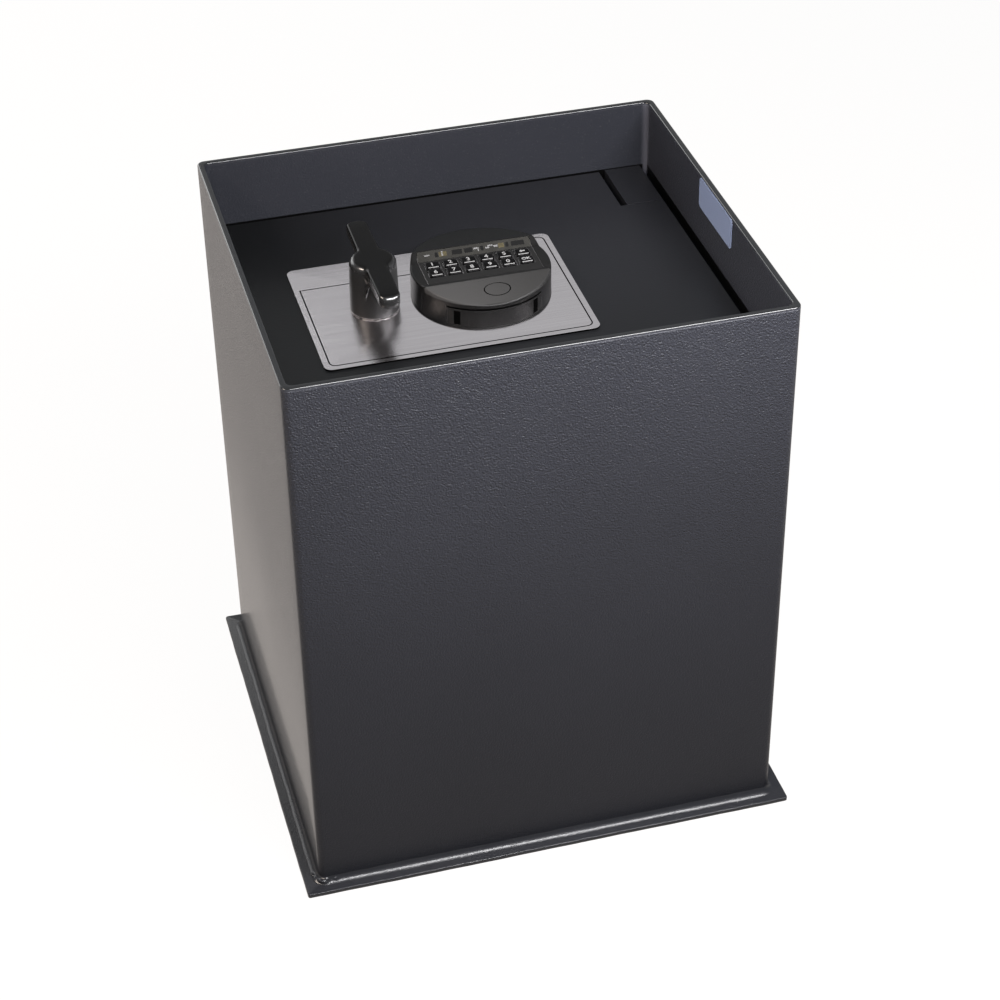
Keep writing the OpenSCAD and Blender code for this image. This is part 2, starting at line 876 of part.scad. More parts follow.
module lock_solenoid() {
    solenoid_x = nose_x - solenoid_gap - solenoid_r;
    color("darkgoldenrod")
        along_y(
            [solenoid_x, lock_y - solenoid_l / 2, lock_bot + lock_lid_t + solenoid_r],
            solenoid_r, solenoid_l
        );
}

module lock_screws() {
    color(bright)
        at_lock_screws() {
            cylinder(r = lock_screw_r, h = lock_lid_t + lock_screw_in);
            translate([0, 0, -lock_screw_head_h])
                cylinder(r = lock_screw_head_r, h = lock_screw_head_h);
        }
}

// Moves its children from the keypad's own frame to the door
module on_keypad() {
    translate([keypad_x, keypad_y, door_top])
        children();
}

module keypad_base() {
    color(black)
        on_keypad()
            difference() {
                union() {
                    translate([0, 0, plate_t])
                        cylinder(r = keypad_r - keypad_wall - slide_clear, h = mount_t);
                    for (x = [-pillar_x, pillar_x], y = pillar_y)
                        translate([x, y, plate_t])
                            cylinder(r = pillar_r, h = board_bot - plate_t);
                }
                translate([0, cable_rear, 0])
                    cylinder(d = cable_hole_d, h = plate_t + mount_t + eps);
                for (side = [-1, 1])
                    translate([side * mount_screw_x, 0, 0])
                        cylinder(r = mount_screw_r, h = plate_t + mount_t + eps);
            }
}

module keypad_screws() {
    color(bright)
        on_keypad()
            for (side = [-1, 1])
                translate([side * mount_screw_x, 0, 0]) {
                    translate([0, 0, blind_gap - mount_screw_in_door])
                        cylinder(r = mount_screw_r, h = mount_screw_in_door - blind_gap + plate_t + mount_t);
                    translate([0, 0, plate_t + mount_t])
                        cylinder(r = mount_screw_head_r, h = mount_screw_head_h);
                }
}

// The keypad's side profile, let down by a distance
function keypad_profile(drop) = [
    [-keypad_r - eps, 0], [-keypad_r - eps, front_h - drop], [-keypad_r, front_h - drop],
    [-band_front - brow_step, brow_h - drop], [-band_front, band_h - drop],
    [band_rear, band_h - drop], [ridge_y, ridge_h - drop], [keypad_r, rear_h - drop],
    [keypad_r + eps, rear_h - drop], [keypad_r + eps, 0]
];

// Corners of the display window in the side view, made longer by a distance outwards
function window_profile(proud) = [
    [band_rear, band_h] + window_edge * slope - proud * slope_in,
    [ridge_y, ridge_h] - window_edge * slope - proud * slope_in,
    [ridge_y, ridge_h] - window_edge * slope + window_t * slope_in,
    [band_rear, band_h] + window_edge * slope + window_t * slope_in
];

module keypad_housing() {
    color(black)
        on_keypad()
            difference() {
                intersection() {
                    translate([0, 0, plate_t])
                        cylinder(r = keypad_r, h = ridge_h);
                    side_profile(keypad_profile(0), -keypad_r - eps, keypad_r + eps);
                }
                intersection() {
                    cylinder(r = keypad_r - keypad_wall, h = ridge_h);
                    side_profile(keypad_profile(shell_t), -keypad_r, keypad_r);
                }
                box([-insert_half, -band_front, frame_bot], [insert_half, band_rear, ridge_h + eps]);
                box(
                    [lip_in - insert_half, lip_in - band_front, frame_bot - lip_t - eps],
                    [insert_half - lip_in, band_rear - lip_in, frame_bot + eps]
                );
                side_profile(window_profile(2 * eps), -insert_half, insert_half);
                for (x = led_x)
                    translate([x, (band_rear + ridge_y) / 2, board_top])
                        cylinder(r = led_r + slide_clear, h = (band_h + ridge_h) / 2 - board_top);
                box(
                    [-drawer_half - slide_clear, -keypad_r - eps, 0],
                    [drawer_half + slide_clear, -keypad_r / 2, drawer_h + slide_clear]
                );
                for (a = groove_angles)
                    rotate(a)
                        box(
                            [-groove_w / 2, -keypad_r - eps, groove_bot],
                            [groove_w / 2, groove_depth - keypad_r, groove_bot + slot_h]
                        );
            }
}

// Place of the middle of a key: the first row is at the back
function key_place(i) = [
    (i % key_columns - (key_columns - 1) / 2) * key_pitch_x,
    key_mid_y + ((key_rows - 1) / 2 - floor(i / key_columns)) * key_pitch_y
];

module key_frame() {
    color(black)
        on_keypad()
            difference() {
                box(
                    [slide_clear - insert_half, slide_clear - band_front, frame_bot],
                    [insert_half - slide_clear, band_rear - slide_clear, band_h]
                );
                for (i = [0:len(KEYS) - 1])
                    translate(key_place(i))
                        translate([0, 0, frame_bot - eps])
                            linear_extrude(frame_t + 2 * eps)
                                square([key_w, key_d] + 2 * key_clear * [1, 1], center = true);
            }
}

module display_window() {
    color([0.12, 0.11, 0.1])
        on_keypad()
            side_profile(window_profile(0), slide_clear - insert_half, insert_half - slide_clear);
}

module indicator_lights() {
    window_under = (band_h + ridge_h) / 2 - window_t / slope[0];
    color("orange")
        on_keypad()
            for (x = led_x)
                translate([x, (band_rear + ridge_y) / 2, board_top])
                    cylinder(r = led_r, h = window_under - board_top - led_r * slope[1] / slope[0]);
}

module keypad_board() {
    color("darkgreen")
        on_keypad()
            box([-board_half, board_front, board_bot], [board_half, board_rear, board_top]);
}

module key_mat() {
    color([0.2, 0.2, 0.21])
        on_keypad()
            difference() {
                box([-mat_half, key_mid_y - mat_y, board_top], [mat_half, key_mid_y + mat_y, mat_top]);
                for (i = [0:len(KEYS) - 1])
                    translate(key_place(i))
                        translate([0, 0, board_top - eps])
                            linear_extrude(mat_t + 2 * eps)
                                square([stem_w, stem_d] + 2 * well_clear * [1, 1], center = true);
            }
}

module keypad_cable() {
    color(black)
        translate([keypad_x, keypad_y + cable_rear, lock_top])
            cylinder(d = cable_d, h = door_top + board_bot - lock_top);
}

module t_handle() {
    foot_edge = 0.8;
    half = bar_l / 2;
    color(black)
        difference() {
            union() {
                translate([handle_x, handle_y, 0])
                    rotate_extrude()
                        polygon([
                            [0, hub_bot], [hub_foot_r - foot_edge, hub_bot],
                            [hub_foot_r, hub_bot + foot_edge], [hub_top_r, handle_top - hub_edge],
                            [hub_top_r - hub_edge, handle_top], [0, handle_top]
                        ]);
                intersection() {
                    translate([handle_x, handle_y, handle_top - bar_mid_t])
                        linear_extrude(bar_mid_t) {
                            polygon([
                                [-bar_end_w / 2, bar_r - half], [bar_end_w / 2, bar_r - half],
                                [bar_mid_w / 2, 0], [bar_end_w / 2, half - bar_r],
                                [-bar_end_w / 2, half - bar_r], [-bar_mid_w / 2, 0]
                            ]);
                            for (x = [-1, 1], y = [-1, 1])
                                translate([x * (bar_end_w / 2 - bar_r), y * (half - bar_r)])
                                    circle(bar_r);
                            square([bar_end_w - 2 * bar_r, bar_l], center = true);
                        }
                    translate([0, handle_y, handle_top])
                        side_profile([
                            [-half, 0], [-half, bar_edge - bar_end_t], [bar_edge - half, -bar_end_t],
                            [-hub_top_r, -bar_mid_t], [hub_top_r, -bar_mid_t],
                            [half - bar_edge, -bar_end_t], [half, bar_edge - bar_end_t], [half, 0]
                        ], handle_x - bar_mid_w, handle_x + bar_mid_w);
                }
            }
            translate([handle_x, handle_y, hub_bot - eps])
                cylinder(r = spindle_r, h = spindle_in_hub + eps);
            along_y(
                [handle_x, handle_y, hub_bot + spindle_in_hub / 2],
                grub_d / 2, hub_foot_r + eps
            );
        }
}

module handle_spindle() {
    color(bright)
        translate([handle_x, handle_y, spindle_bot])
            cylinder(r = spindle_r, h = hub_bot + spindle_in_hub - spindle_bot);
}

module handle_screw() {
    grub_setback = 1;
    color(steel)
        along_y(
            [handle_x, handle_y + spindle_r, hub_bot + spindle_in_hub / 2],
            grub_d / 2, hub_top_r - spindle_r - grub_setback
        );
}

module crank_disc() {
    color(steel)
        translate([handle_x, handle_y, crank_bot])
            difference() {
                cylinder(r = crank_disc_r, h = crank_disc_t);
                translate([0, 0, -eps])
                    cylinder(r = spindle_r, h = crank_disc_t + 2 * eps);
                translate([crank_x, crank_y, -eps])
                    cylinder(d = crank_pin_d, h = crank_disc_t + 2 * eps);
            }
}

module crank_pin() {
    pin_bot = carrier_bot - pin_reach;
    color(bright)
        translate([handle_x + crank_x, handle_y + crank_y, pin_bot])
            cylinder(d = crank_pin_d, h = crank_top - pin_bot);
}

module spindle_clip() {
    color(bright)
        translate([handle_x, handle_y, clip_bot])
            difference() {
                cylinder(r = clip_r, h = clip_t);
                translate([0, 0, -eps])
                    cylinder(r = spindle_r, h = clip_t + 2 * eps);
            }
}

module bolt_carrier() {
    slot_r = crank_pin_d / 2 + crank_clear;
    stud_r = stud_d / 2 + slide_clear;
    ramp_l = nose_x - ramp_lead;
    rim = 2;
    color("silver")
        difference() {
            union() {
                translate([0, 0, carrier_bot])
                    linear_extrude(carrier_t)
                        polygon([
                            [carrier_l, -carrier_half], [carrier_r, -carrier_half],
                            [carrier_r, ramp_at(ramp_l)], [ramp_l, ramp_at(ramp_l)],
                            [arm_r, ramp_at(arm_r)], [arm_r, arm_end],
                            [carrier_r, arm_end], [carrier_r, carrier_half],
                            [carrier_l, carrier_half]
                        ]);
                box(
                    [carrier_l, -carrier_half, carrier_bot],
                    [carrier_l + carrier_t, carrier_half, bolt_z + bolt_r + rim]
                );
            }
            translate([handle_x + crank_x, handle_y + crank_y, carrier_bot - eps])
                linear_extrude(carrier_t + 2 * eps)
                    rotate(90)
                        slot_x_2d(crank_r - crank_y, slot_r);
            for (side = [-1, 1])
                translate([stud_x, side * stud_y, carrier_bot - eps])
                    linear_extrude(carrier_t + 2 * eps)
                        slot_x_2d(bolt_throw, stud_r);
            for (y = bolt_places())
                along_x([carrier_l - eps, y, bolt_z], bolt_screw_r, carrier_t + 2 * eps);
        }
}

module locking_bolts() {
    tip_edge = 1.5;
    hole_l = bolt_screw_in + blind_gap;
    color(bright)
        for (y = bolt_places())
            difference() {
                translate([bolt_tip, y, bolt_z])
                    rotate([0, 90, 0]) {
                        cylinder(r1 = bolt_r - tip_edge, r2 = bolt_r, h = tip_edge);
                        translate([0, 0, tip_edge])
                            cylinder(r = bolt_r, h = bolt_l - tip_edge);
                    }
                along_x([bolt_root - hole_l, y, bolt_z], bolt_screw_r, hole_l + eps);
            }
}

module bolt_screws() {
    color(steel)
        for (y = bolt_places()) {
            along_x([bolt_root - bolt_screw_in, y, bolt_z], bolt_screw_r, bolt_screw_in + carrier_t);
            along_x([bolt_root + carrier_t, y, bolt_z], bolt_screw_head_r, bolt_screw_head_h);
        }
}

module lock_bolt() {
    nose_r = nose_x + lock_bolt_w;
    rear = lock_end - lock_bolt_in;
    color("darkgoldenrod")
        translate([0, 0, lock_bolt_mid - lock_bolt_t / 2])
            linear_extrude(lock_bolt_t)
                polygon([
                    [nose_x, rear], [nose_r, rear], [nose_r, nose_at(nose_r)], [nose_x, nose_at(nose_x)]
                ]);
}

module battery_drawer() {
    wall_top = board_bot - tray_top_gap;
    slot_bot = (tray_bot + drawer_h - slot_h) / 2;
    color(black)
        on_keypad()
            difference() {
                union() {
                    intersection() {
                        difference() {
                            translate([0, 0, tray_bot])
                                cylinder(r = keypad_r, h = drawer_h - tray_bot);
                            cylinder(r = keypad_r - keypad_wall, h = drawer_h + eps);
                        }
                        box([-drawer_half, -keypad_r, 0], [drawer_half, -keypad_r / 2, drawer_h]);
                    }
                    box([-tray_half, tray_front, tray_bot], [tray_half, tray_rear, wall_top]);
                }
                intersection() {
                    box(
                        [tray_wall - tray_half, -keypad_r, tray_bot + tray_floor_t],
                        [tray_half - tray_wall, tray_rear - tray_wall, drawer_h + eps]
                    );
                    cylinder(r = keypad_r - keypad_wall, h = drawer_h + 2 * eps);
                }
                for (side = [-1, 1])
                    box(
                        [side * slot_x - slot_w / 2, -keypad_r, slot_bot],
                        [side * slot_x + slot_w / 2, -keypad_r / 2, slot_bot + slot_h]
                    );
            }
}

module battery_cells() {
    nub_r = 2.5;
    nub_l = 1;
    color("goldenrod")
        on_keypad()
            for (i = [0:cell_count - 1])
                translate([(i - (cell_count - 1) / 2) * cell_pitch, cell_front, cell_z]) {
                    along_y([0, 0, 0], cell_d / 2, cell_l - nub_l);
                    along_y([0, 0, 0], nub_r, cell_l);
                }
}

// One key: a cap that shows through the frame and a stem that reaches into the mat
module key(i) {
    color([0.13, 0.13, 0.14])
        on_keypad()
            translate(key_place(i)) {
                translate([0, 0, cap_bot])
                    linear_extrude(band_h + key_proud - cap_bot)
                        square([key_w, key_d], center = true);
                translate([0, 0, stem_bot])
                    linear_extrude(cap_bot - stem_bot)
                        square([stem_w, stem_d], center = true);
            }
}

body_shell();
base_plate();
base_weld();
ledge_left();
ledge_front();
ledge_back();
hinge_ledge();
hinge_block_rear();
hinge_block_front();
hinge_pins();
label_plate();
door_plate();
face_plate();
handle_bush();
bolt_guide();
guide_studs();
standoffs();
boltwork_cover();
cover_screws();
hard_plate();
lock_case();
lock_lid();
lock_solenoid();
lock_screws();
keypad_base();
keypad_screws();
keypad_housing();
key_frame();
display_window();
indicator_lights();
keypad_board();
key_mat();
keypad_cable();
t_handle();
handle_spindle();
crank_disc();
crank_pin();
spindle_clip();
handle_screw();
bolt_carrier();
locking_bolts();
bolt_screws();
lock_bolt();
battery_drawer();
battery_cells();
for (i = [0:len(KEYS) - 1])
    key(i);
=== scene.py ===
"""Looks of the floor safe: the studio, the finishes, and the pieces whose form is modelled here.

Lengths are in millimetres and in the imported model's own frame; a mesh is made in metres.
"""

import json
import math

import bmesh
import bpy
import numpy as np
from mathutils import Euler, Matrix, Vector

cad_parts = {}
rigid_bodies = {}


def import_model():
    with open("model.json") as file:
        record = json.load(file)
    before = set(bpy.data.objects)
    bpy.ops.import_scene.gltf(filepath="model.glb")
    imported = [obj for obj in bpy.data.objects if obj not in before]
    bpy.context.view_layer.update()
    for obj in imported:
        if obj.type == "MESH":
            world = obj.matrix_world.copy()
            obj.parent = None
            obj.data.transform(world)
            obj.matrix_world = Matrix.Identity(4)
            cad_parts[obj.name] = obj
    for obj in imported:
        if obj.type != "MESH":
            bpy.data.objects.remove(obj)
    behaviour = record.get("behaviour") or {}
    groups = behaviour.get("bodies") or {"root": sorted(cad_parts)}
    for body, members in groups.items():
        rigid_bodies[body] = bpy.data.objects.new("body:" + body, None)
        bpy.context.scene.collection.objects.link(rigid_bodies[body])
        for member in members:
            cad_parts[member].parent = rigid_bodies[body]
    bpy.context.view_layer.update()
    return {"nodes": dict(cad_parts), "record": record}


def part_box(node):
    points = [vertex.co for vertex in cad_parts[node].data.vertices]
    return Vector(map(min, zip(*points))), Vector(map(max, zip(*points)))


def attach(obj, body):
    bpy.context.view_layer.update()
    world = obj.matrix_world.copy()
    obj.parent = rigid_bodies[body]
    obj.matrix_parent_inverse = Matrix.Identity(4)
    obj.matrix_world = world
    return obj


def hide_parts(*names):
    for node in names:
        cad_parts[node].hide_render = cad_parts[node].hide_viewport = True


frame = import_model()
MM = 0.001


def span(node):
    """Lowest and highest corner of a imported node, in millimetres."""
    low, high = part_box(node)
    return np.array(low) / MM, np.array(high) / MM


# Camera
CAMERA_PLACE = (-327.7, -1254.8, 1123.5)
CAMERA_TILT = 53.961
CAMERA_ROLL = 0.735
CAMERA_TURN = -15.488
CAMERA_LENS = 86.87

camera_data = bpy.data.cameras.new("camera")
camera_data.lens = CAMERA_LENS
camera_data.sensor_width = 36
camera_data.clip_end = 50
camera = bpy.data.objects.new("camera", camera_data)
bpy.context.scene.collection.objects.link(camera)
camera.location = Vector(CAMERA_PLACE) * MM
camera.rotation_euler = Euler([math.radians(a) for a in (CAMERA_TILT, CAMERA_ROLL, CAMERA_TURN)])
bpy.context.scene.camera = camera


# Materials
class Value:
    """A socket of a material's nodes: an expression on it adds the Math nodes."""

    def __init__(self, paint, socket):
        self.paint = paint
        self.socket = socket

    def _math(self, operation, *values):
        return self.paint.node("ShaderNodeMath", {"operation": operation}, dict(enumerate(values)))

    def __add__(self, other):
        return self._math("ADD", self, other)

    def __sub__(self, other):
        return self._math("SUBTRACT", self, other)

    def __rsub__(self, other):
        return self._math("SUBTRACT", other, self)

    def __mul__(self, other):
        return self._math("MULTIPLY", self, other)

    def __abs__(self):
        return self._math("ABSOLUTE", self)

    __radd__ = __add__
    __rmul__ = __mul__

    def above(self, edge, width):
        """0 below edge, 1 above edge + width, and smooth between."""
        return self.paint.node(
            "ShaderNodeMapRange",
            {"interpolation_type": "SMOOTHSTEP"},
            {"Value": self, "From Min": edge, "From Max": edge + width},
        )

    def below(self, edge, width):
        """1 below edge, 0 above edge + width, and smooth between."""
        return 1 - self.above(edge, width)


class Paint:
    """A material made of nodes, with one Principled shader."""

    def __init__(self, name, **uniform):
        self.material = bpy.data.materials.new(name)
        self.material.use_nodes = True
        self.tree = self.material.node_tree
        self.shader = self.tree.nodes["Principled BSDF"]
        self.output = self.tree.nodes["Material Output"]
        self.place = self.node("ShaderNodeTexCoord", output="Object")
        for socket, value in uniform.items():
            self.shader.inputs[socket.replace("_", " ")].default_value = value

    def node(self, kind, settings=None, inputs=None, output=0):
        """Adds a node: its settings first, then the values or links of its sockets."""
        made = self.tree.nodes.new(kind)
        for name, value in (settings or {}).items():
            setattr(made, name, value)
        for name, value in (inputs or {}).items():
            if isinstance(value, Value):
                self.tree.links.new(value.socket, made.inputs[name])
            else:
                made.inputs[name].default_value = value
        return Value(self, made.outputs[output])

    def feed(self, **sockets):
        """Links values to sockets of the shader, such as Base_Color."""
        for name, value in sockets.items():
            self.tree.links.new(value.socket, self.shader.inputs[name.replace("_", " ")])

    def axes(self):
        """The three object coordinates, in metres."""
        split = self.node("ShaderNodeSeparateXYZ", inputs={0: self.place}).socket.node
        return [Value(self, socket) for socket in split.outputs]

    def stretched(self, x, y, z):
        """Object coordinates multiplied along each axis."""
        return self.node(
            "ShaderNodeVectorMath", {"operation": "MULTIPLY"}, {0: self.place, 1: (x, y, z)}
        )

    def noise(self, scale, detail=2.0, roughness=0.5, place=None):
        """Fractal noise from 0 to 1, with that many waves to the metre."""
        return self.node(
            "ShaderNodeTexNoise",
            inputs={
                "Vector": place or self.place, "Scale": scale,
                "Detail": detail, "Roughness": roughness,
            },
        )

    def mix(self, share, first, second):
        """A colour between two colours."""
        mixer = self.tree.nodes.new("ShaderNodeMix")
        mixer.data_type = "RGBA"
        sockets = [mixer.inputs[i] for i in (0, 6, 7)]
        for socket, value in zip(sockets, (share, first, second)):
            if isinstance(value, Value):
                self.tree.links.new(value.socket, socket)
            else:
                socket.default_value = value
        return Value(self, mixer.outputs[2])

    def bump(self, height, depth, under=None):
        """Normals of a relief whose height runs from 0 to 1 over that depth in metres."""
        inputs = {"Height": height, "Distance": depth, "Strength": 1.0}
        if under:
            inputs["Normal"] = under
        return self.node("ShaderNodeBump", inputs=inputs)


def grey(level, warm=0.0):
    """A near-grey colour: warm above 0 moves it to yellow, below 0 to blue."""
    return (level * (1 + warm), level, level * (1 - warm), 1)


# Where the paint changes, and where painted shade and a painted highlight lie, in metres from the
# middle of the safe and from its underside
WALL_MID = (0.1525, 0.1375)  # within the thickness of the side walls and of the front and back
INNER_FACE = (0.1505, 0.1355)  # just short of the inner faces
BACK_WALL = 0.1335  # just ahead of the back wall's inner face
CORNER_PAINTED_HIGHLIGHT = (0.1460, 0.1310)  # the near sides of the painted highlight, a strip in the rear right corner
LEFT_FACE = -0.1546  # just within the left wall's outer face
DOOR_GAP_PAINTED_SHADOW = (0.328, 0.3384)  # the painted shadow on the walls beside the door's edge, from low to high
PEBBLE_TOP = 0.3828  # where the pebbles fade out below the rim
RIM_ROUND = 0.3838  # where the rim's round edge starts
RIM_FLAT = 0.3843  # in the rim's round edge, on the way to its flat top
FLANGE_TOP = 0.0045  # just over the base plate


def painted_wall_shade(paint, shade, inside, x, y, z):
    """Painted shade and light on the walls: darker on the rim's flat top, inside, low down and
    beside the door.

    A painted highlight, a paler strip, stands in the rear right inner corner.
    """
    # Painted shade: darker on the rim's flat top, on the inner walls, most on the back wall, and
    # towards the foot
    back = inside * y.above(BACK_WALL, 0.001)
    within = 1 - 0.12 * inside - 0.16 * back
    full = z.below(RIM_FLAT, 0.0003) * within * (0.68 + 0.32 * z.above(0.03, 0.30))
    shade = paint.mix(1 - full, shade, grey(0.003, -0.1))
    # Painted highlight: a paler strip in the rear right inner corner
    corner = x.above(CORNER_PAINTED_HIGHLIGHT[0], 0.0045) * y.above(CORNER_PAINTED_HIGHLIGHT[1], 0.0045)
    corner = corner * inside * z.below(RIM_ROUND, 0.0003)
    shade = paint.mix(corner * 0.7, shade, (0.055, 0.055, 0.065, 1))
    # Painted shadow: a dark band on the inner walls beside the door's edge
    face = x.above(INNER_FACE[0], 0.0003) + y.above(INNER_FACE[1], 0.0003)
    gap_painted_shadow = inside * face * z.above(DOOR_GAP_PAINTED_SHADOW[0], 0.004) * z.below(DOOR_GAP_PAINTED_SHADOW[1], 0.0006)
    return paint.mix(gap_painted_shadow, shade, grey(0.0006))


def powder_coat(name, depth, gloss, dark=1.0, level=0.12):
    """Charcoal powder coat: a skin pebbled to that depth, faint clouds, and chips on the flange.

    The skin is smoother on the inside of the walls and low down, and glossier on the left wall
    and the rim. On the door a painted shadow darkens it towards the left and the front; on the
    walls painted_wall_shade adds painted shade and a painted highlight.
    """
    paint = Paint(name, Specular_IOR_Level=level, Coat_Roughness=0.10)
    cloud = paint.noise(7, 3)
    speck = paint.noise(900, 1).above(0.70, 0.04)
    tones = [(v * 0.95, v, v * 1.25, 1) for v in (0.0155 * dark, 0.0205 * dark)]
    shade = paint.mix(cloud, *tones)
    shade = paint.mix(speck * 0.14 * dark, shade, grey(0.14))
    x, y, z = paint.axes()
    inside = abs(x).below(WALL_MID[0], 0.0005) * abs(y).below(WALL_MID[1], 0.0005)
    if name == "door_coat":
        # Painted shadow of the left and front walls: the door is darker towards the left and the
        # front
        clear_of_painted_shadow = x.above(-0.165, 0.19) * y.above(-0.16, 0.30)
        shade = paint.mix(clear_of_painted_shadow, grey(0.0015, -0.1), shade)
    else:
        shade = painted_wall_shade(paint, shade, inside, x, y, z)
    chip = paint.noise(230, 4, 0.7).above(0.70, 0.03) * z.below(FLANGE_TOP, 0.001)
    shade = paint.mix(chip, shade, grey(0.42, 0.04))
    rough = z.below(PEBBLE_TOP, 0.0008) * (1 - 0.8 * inside) * (0.25 + 0.75 * z.above(0.10, 0.24))
    left = x.below(LEFT_FACE, 0.0002) * (0.17 + 0.14 * z.below(0.06, 0.18)) * z.above(0.007, 0.003)
    paint.feed(
        Base_Color=shade,
        Roughness=gloss - 0.04 + 0.08 * cloud,
        Coat_Weight=left * z.below(RIM_ROUND, 0.0003) + 0.8 * z.above(RIM_ROUND, 0.0003),
        Normal=paint.bump(paint.noise(880, 1.5, 0.5) * rough, depth),
    )
    return paint.material


def brushed_plate(name):
    """Stainless sheet, brushed along X in fine ridges, with its sides painted near black as painted
    shade, so that they show no glints.

    Its faces lean to the front, more so at the back, so that it doesn't mirror the back wall.
    """
    paint = Paint(name, Metallic=1.0)
    streak = paint.noise(1, 3, 0.7, paint.stretched(8, 900, 8))
    broad = paint.noise(1, 2, 0.5, paint.stretched(3, 240, 3))
    tone = paint.mix(streak, (0.72, 0.68, 0.69, 1), (1.0, 0.965, 0.98, 1))
    tone = paint.mix(broad * 0.4, tone, (0.84, 0.80, 0.81, 1))
    _, y, z = paint.axes()
    lean = paint.bump(y * 0.045 + y * y * (0.38 + 3 * y), 1.0)
    # Painted shade: the sides are near black, which keeps glints off them
    top = z.above((span("face_plate")[1][2] - 0.015) * MM, 0.00001)
    paint.feed(
        Base_Color=paint.mix(top, grey(0.006), tone),
        Roughness=0.15 + 0.08 * streak,
        Normal=paint.bump(paint.noise(1, 1, 0.5, paint.stretched(12, 5000, 12)), 0.000026, lean),
    )
    return paint.material


def satin(name, colour, roughness, grain=900, depth=0.00001, level=0.5):
    """A moulded or painted skin: fine grain, and a gloss that varies a little."""
    paint = Paint(name, Specular_IOR_Level=level)
    cloud = paint.noise(45, 3)
    tint = paint.mix(cloud, tuple(c * 0.88 for c in colour[:3]) + (1,), colour)
    paint.feed(
        Base_Color=tint,
        Roughness=roughness - 0.03 + 0.06 * cloud,
        Normal=paint.bump(paint.noise(grain, 2), depth),
    )
    return paint.material


def keypad_skin(name):
    """The keypad's satin plastic, smoother behind the display.

    Painted light makes the crown paler, most on its left, and painted shade darkens the roof behind
    the display.
    """
    paint = Paint(name, Specular_IOR_Level=0.09)
    cloud = paint.noise(45, 3)
    x, y, z = paint.axes()
    tint = paint.mix(cloud, grey(0.0035, 0.01), grey(0.0045, 0.01))
    # Painted shade: darker on the roof behind the display
    behind = y.above((span("display_window")[1][1] - 0.4) * MM, 0.0006)
    # Painted light: the crown is paler, most on its left
    crown = paint.mix(x.above(-0.04, 0.08), grey(0.027, 0.01), grey(0.015, 0.01))
    front = z.above((span("keypad_housing")[0][2] + 16.6) * MM, 0.0008) * y.below(-0.0146, 0.001)
    tint = paint.mix(front, tint, crown)
    paint.feed(
        Base_Color=paint.mix(behind, tint, grey(0.0025, -0.05)),
        Roughness=0.33 + 0.06 * cloud - 0.08 * behind,
        Normal=paint.bump(paint.noise(1500, 2), 0.00002),
    )
    return paint.material


def handle_black(name):
    """Black enamel, glossy at the hub's shoulder and the bar's tip, worn to metal at the foot.

    The sides are painted paler than the top, as painted light.
    """
    paint = Paint(name, Specular_IOR_Level=0.08, Coat_Roughness=0.22)
    low, high = span("t_handle")
    x, y, z = paint.axes()
    wear = paint.noise(260, 3, 0.6)
    bare = z.below((low[2] + 0.55) * MM, 0.0003) * wear.above(0.36, 0.10)
    cloud = paint.noise(40, 3)
    enamel = paint.mix(cloud, grey(0.0015), grey(0.0025))
    # Painted light: the enamel below the top is paler than on the top
    black = paint.mix(z.above((high[2] - 2.5) * MM, 0.002), grey(0.011), enamel)
    edge = z.below((high[2] - 0.6) * MM, 0.0004) * z.above((high[2] - 7) * MM, 0.003)
    hub = abs(x - (low[0] + high[0]) / 2 * MM).above(0.0074, 0.0006)
    tip = y.below((low[1] + 4) * MM, 0.003)
    paint.feed(
        Base_Color=paint.mix(bare, black, grey(0.33)),
        Metallic=bare,
        Coat_Weight=edge * (hub + tip) * 0.9,
        Roughness=0.20 + 0.06 * cloud + 0.12 * z.below((high[2] - 6) * MM, 0.003),
        Normal=paint.bump(paint.noise(500, 2), 0.00001),
    )
    return paint.material


def turned_metal(name, colour, roughness, grain=(300, 300, 300), depth=0.000006):
    """Bare or plated metal: fine tool marks, and faint stains in its gloss."""
    paint = Paint(name, Metallic=1.0)
    mark = paint.noise(1, 3, 0.6, paint.stretched(*grain))
    stain = paint.noise(60, 3)
    dark = tuple(c * 0.78 for c in colour[:3]) + (1,)
    paint.feed(
        Base_Color=paint.mix(stain, dark, colour),
        Roughness=roughness + 0.12 * stain,
        Normal=paint.bump(mark, depth),
    )
    return paint.material


def smoked_window(name):
    """Smoked plastic, hazed a little, that lets a small share of what lies behind it through."""
    paint = Paint(name, Specular_IOR_Level=0.12)
    haze = paint.noise(120, 3)
    paint.feed(
        Base_Color=paint.mix(haze, (0.010, 0.0098, 0.009, 1), (0.020, 0.0195, 0.0175, 1)),
        Roughness=0.26 + 0.08 * haze,
        Alpha=0.86 + 0.08 * haze,
    )
    return paint.material


def amber_lens(name):
    """Amber light guides that glow a little."""
    paint = Paint(name, Emission_Strength=0.10, Roughness=0.25)
    haze = paint.noise(900, 2)
    glow = paint.mix(haze, (0.010, 0.008, 0.004, 1), (0.045, 0.038, 0.017, 1))
    paint.feed(Base_Color=glow, Emission_Color=glow)
    return paint.material


def circuit_board(name):
    """Green solder mask with fine copper tracks under it."""
    paint = Paint(name, Roughness=0.35)
    track = paint.node(
        "ShaderNodeTexVoronoi",
        {"feature": "DISTANCE_TO_EDGE", "distance": "EUCLIDEAN"},
        {"Vector": paint.place, "Scale": 320.0},
    ).below(0.05, 0.05)
    paint.feed(
        Base_Color=paint.mix(track, (0.01, 0.10, 0.04, 1), (0.03, 0.20, 0.07, 1)),
        Normal=paint.bump(track, 0.00003),
    )
    return paint.material


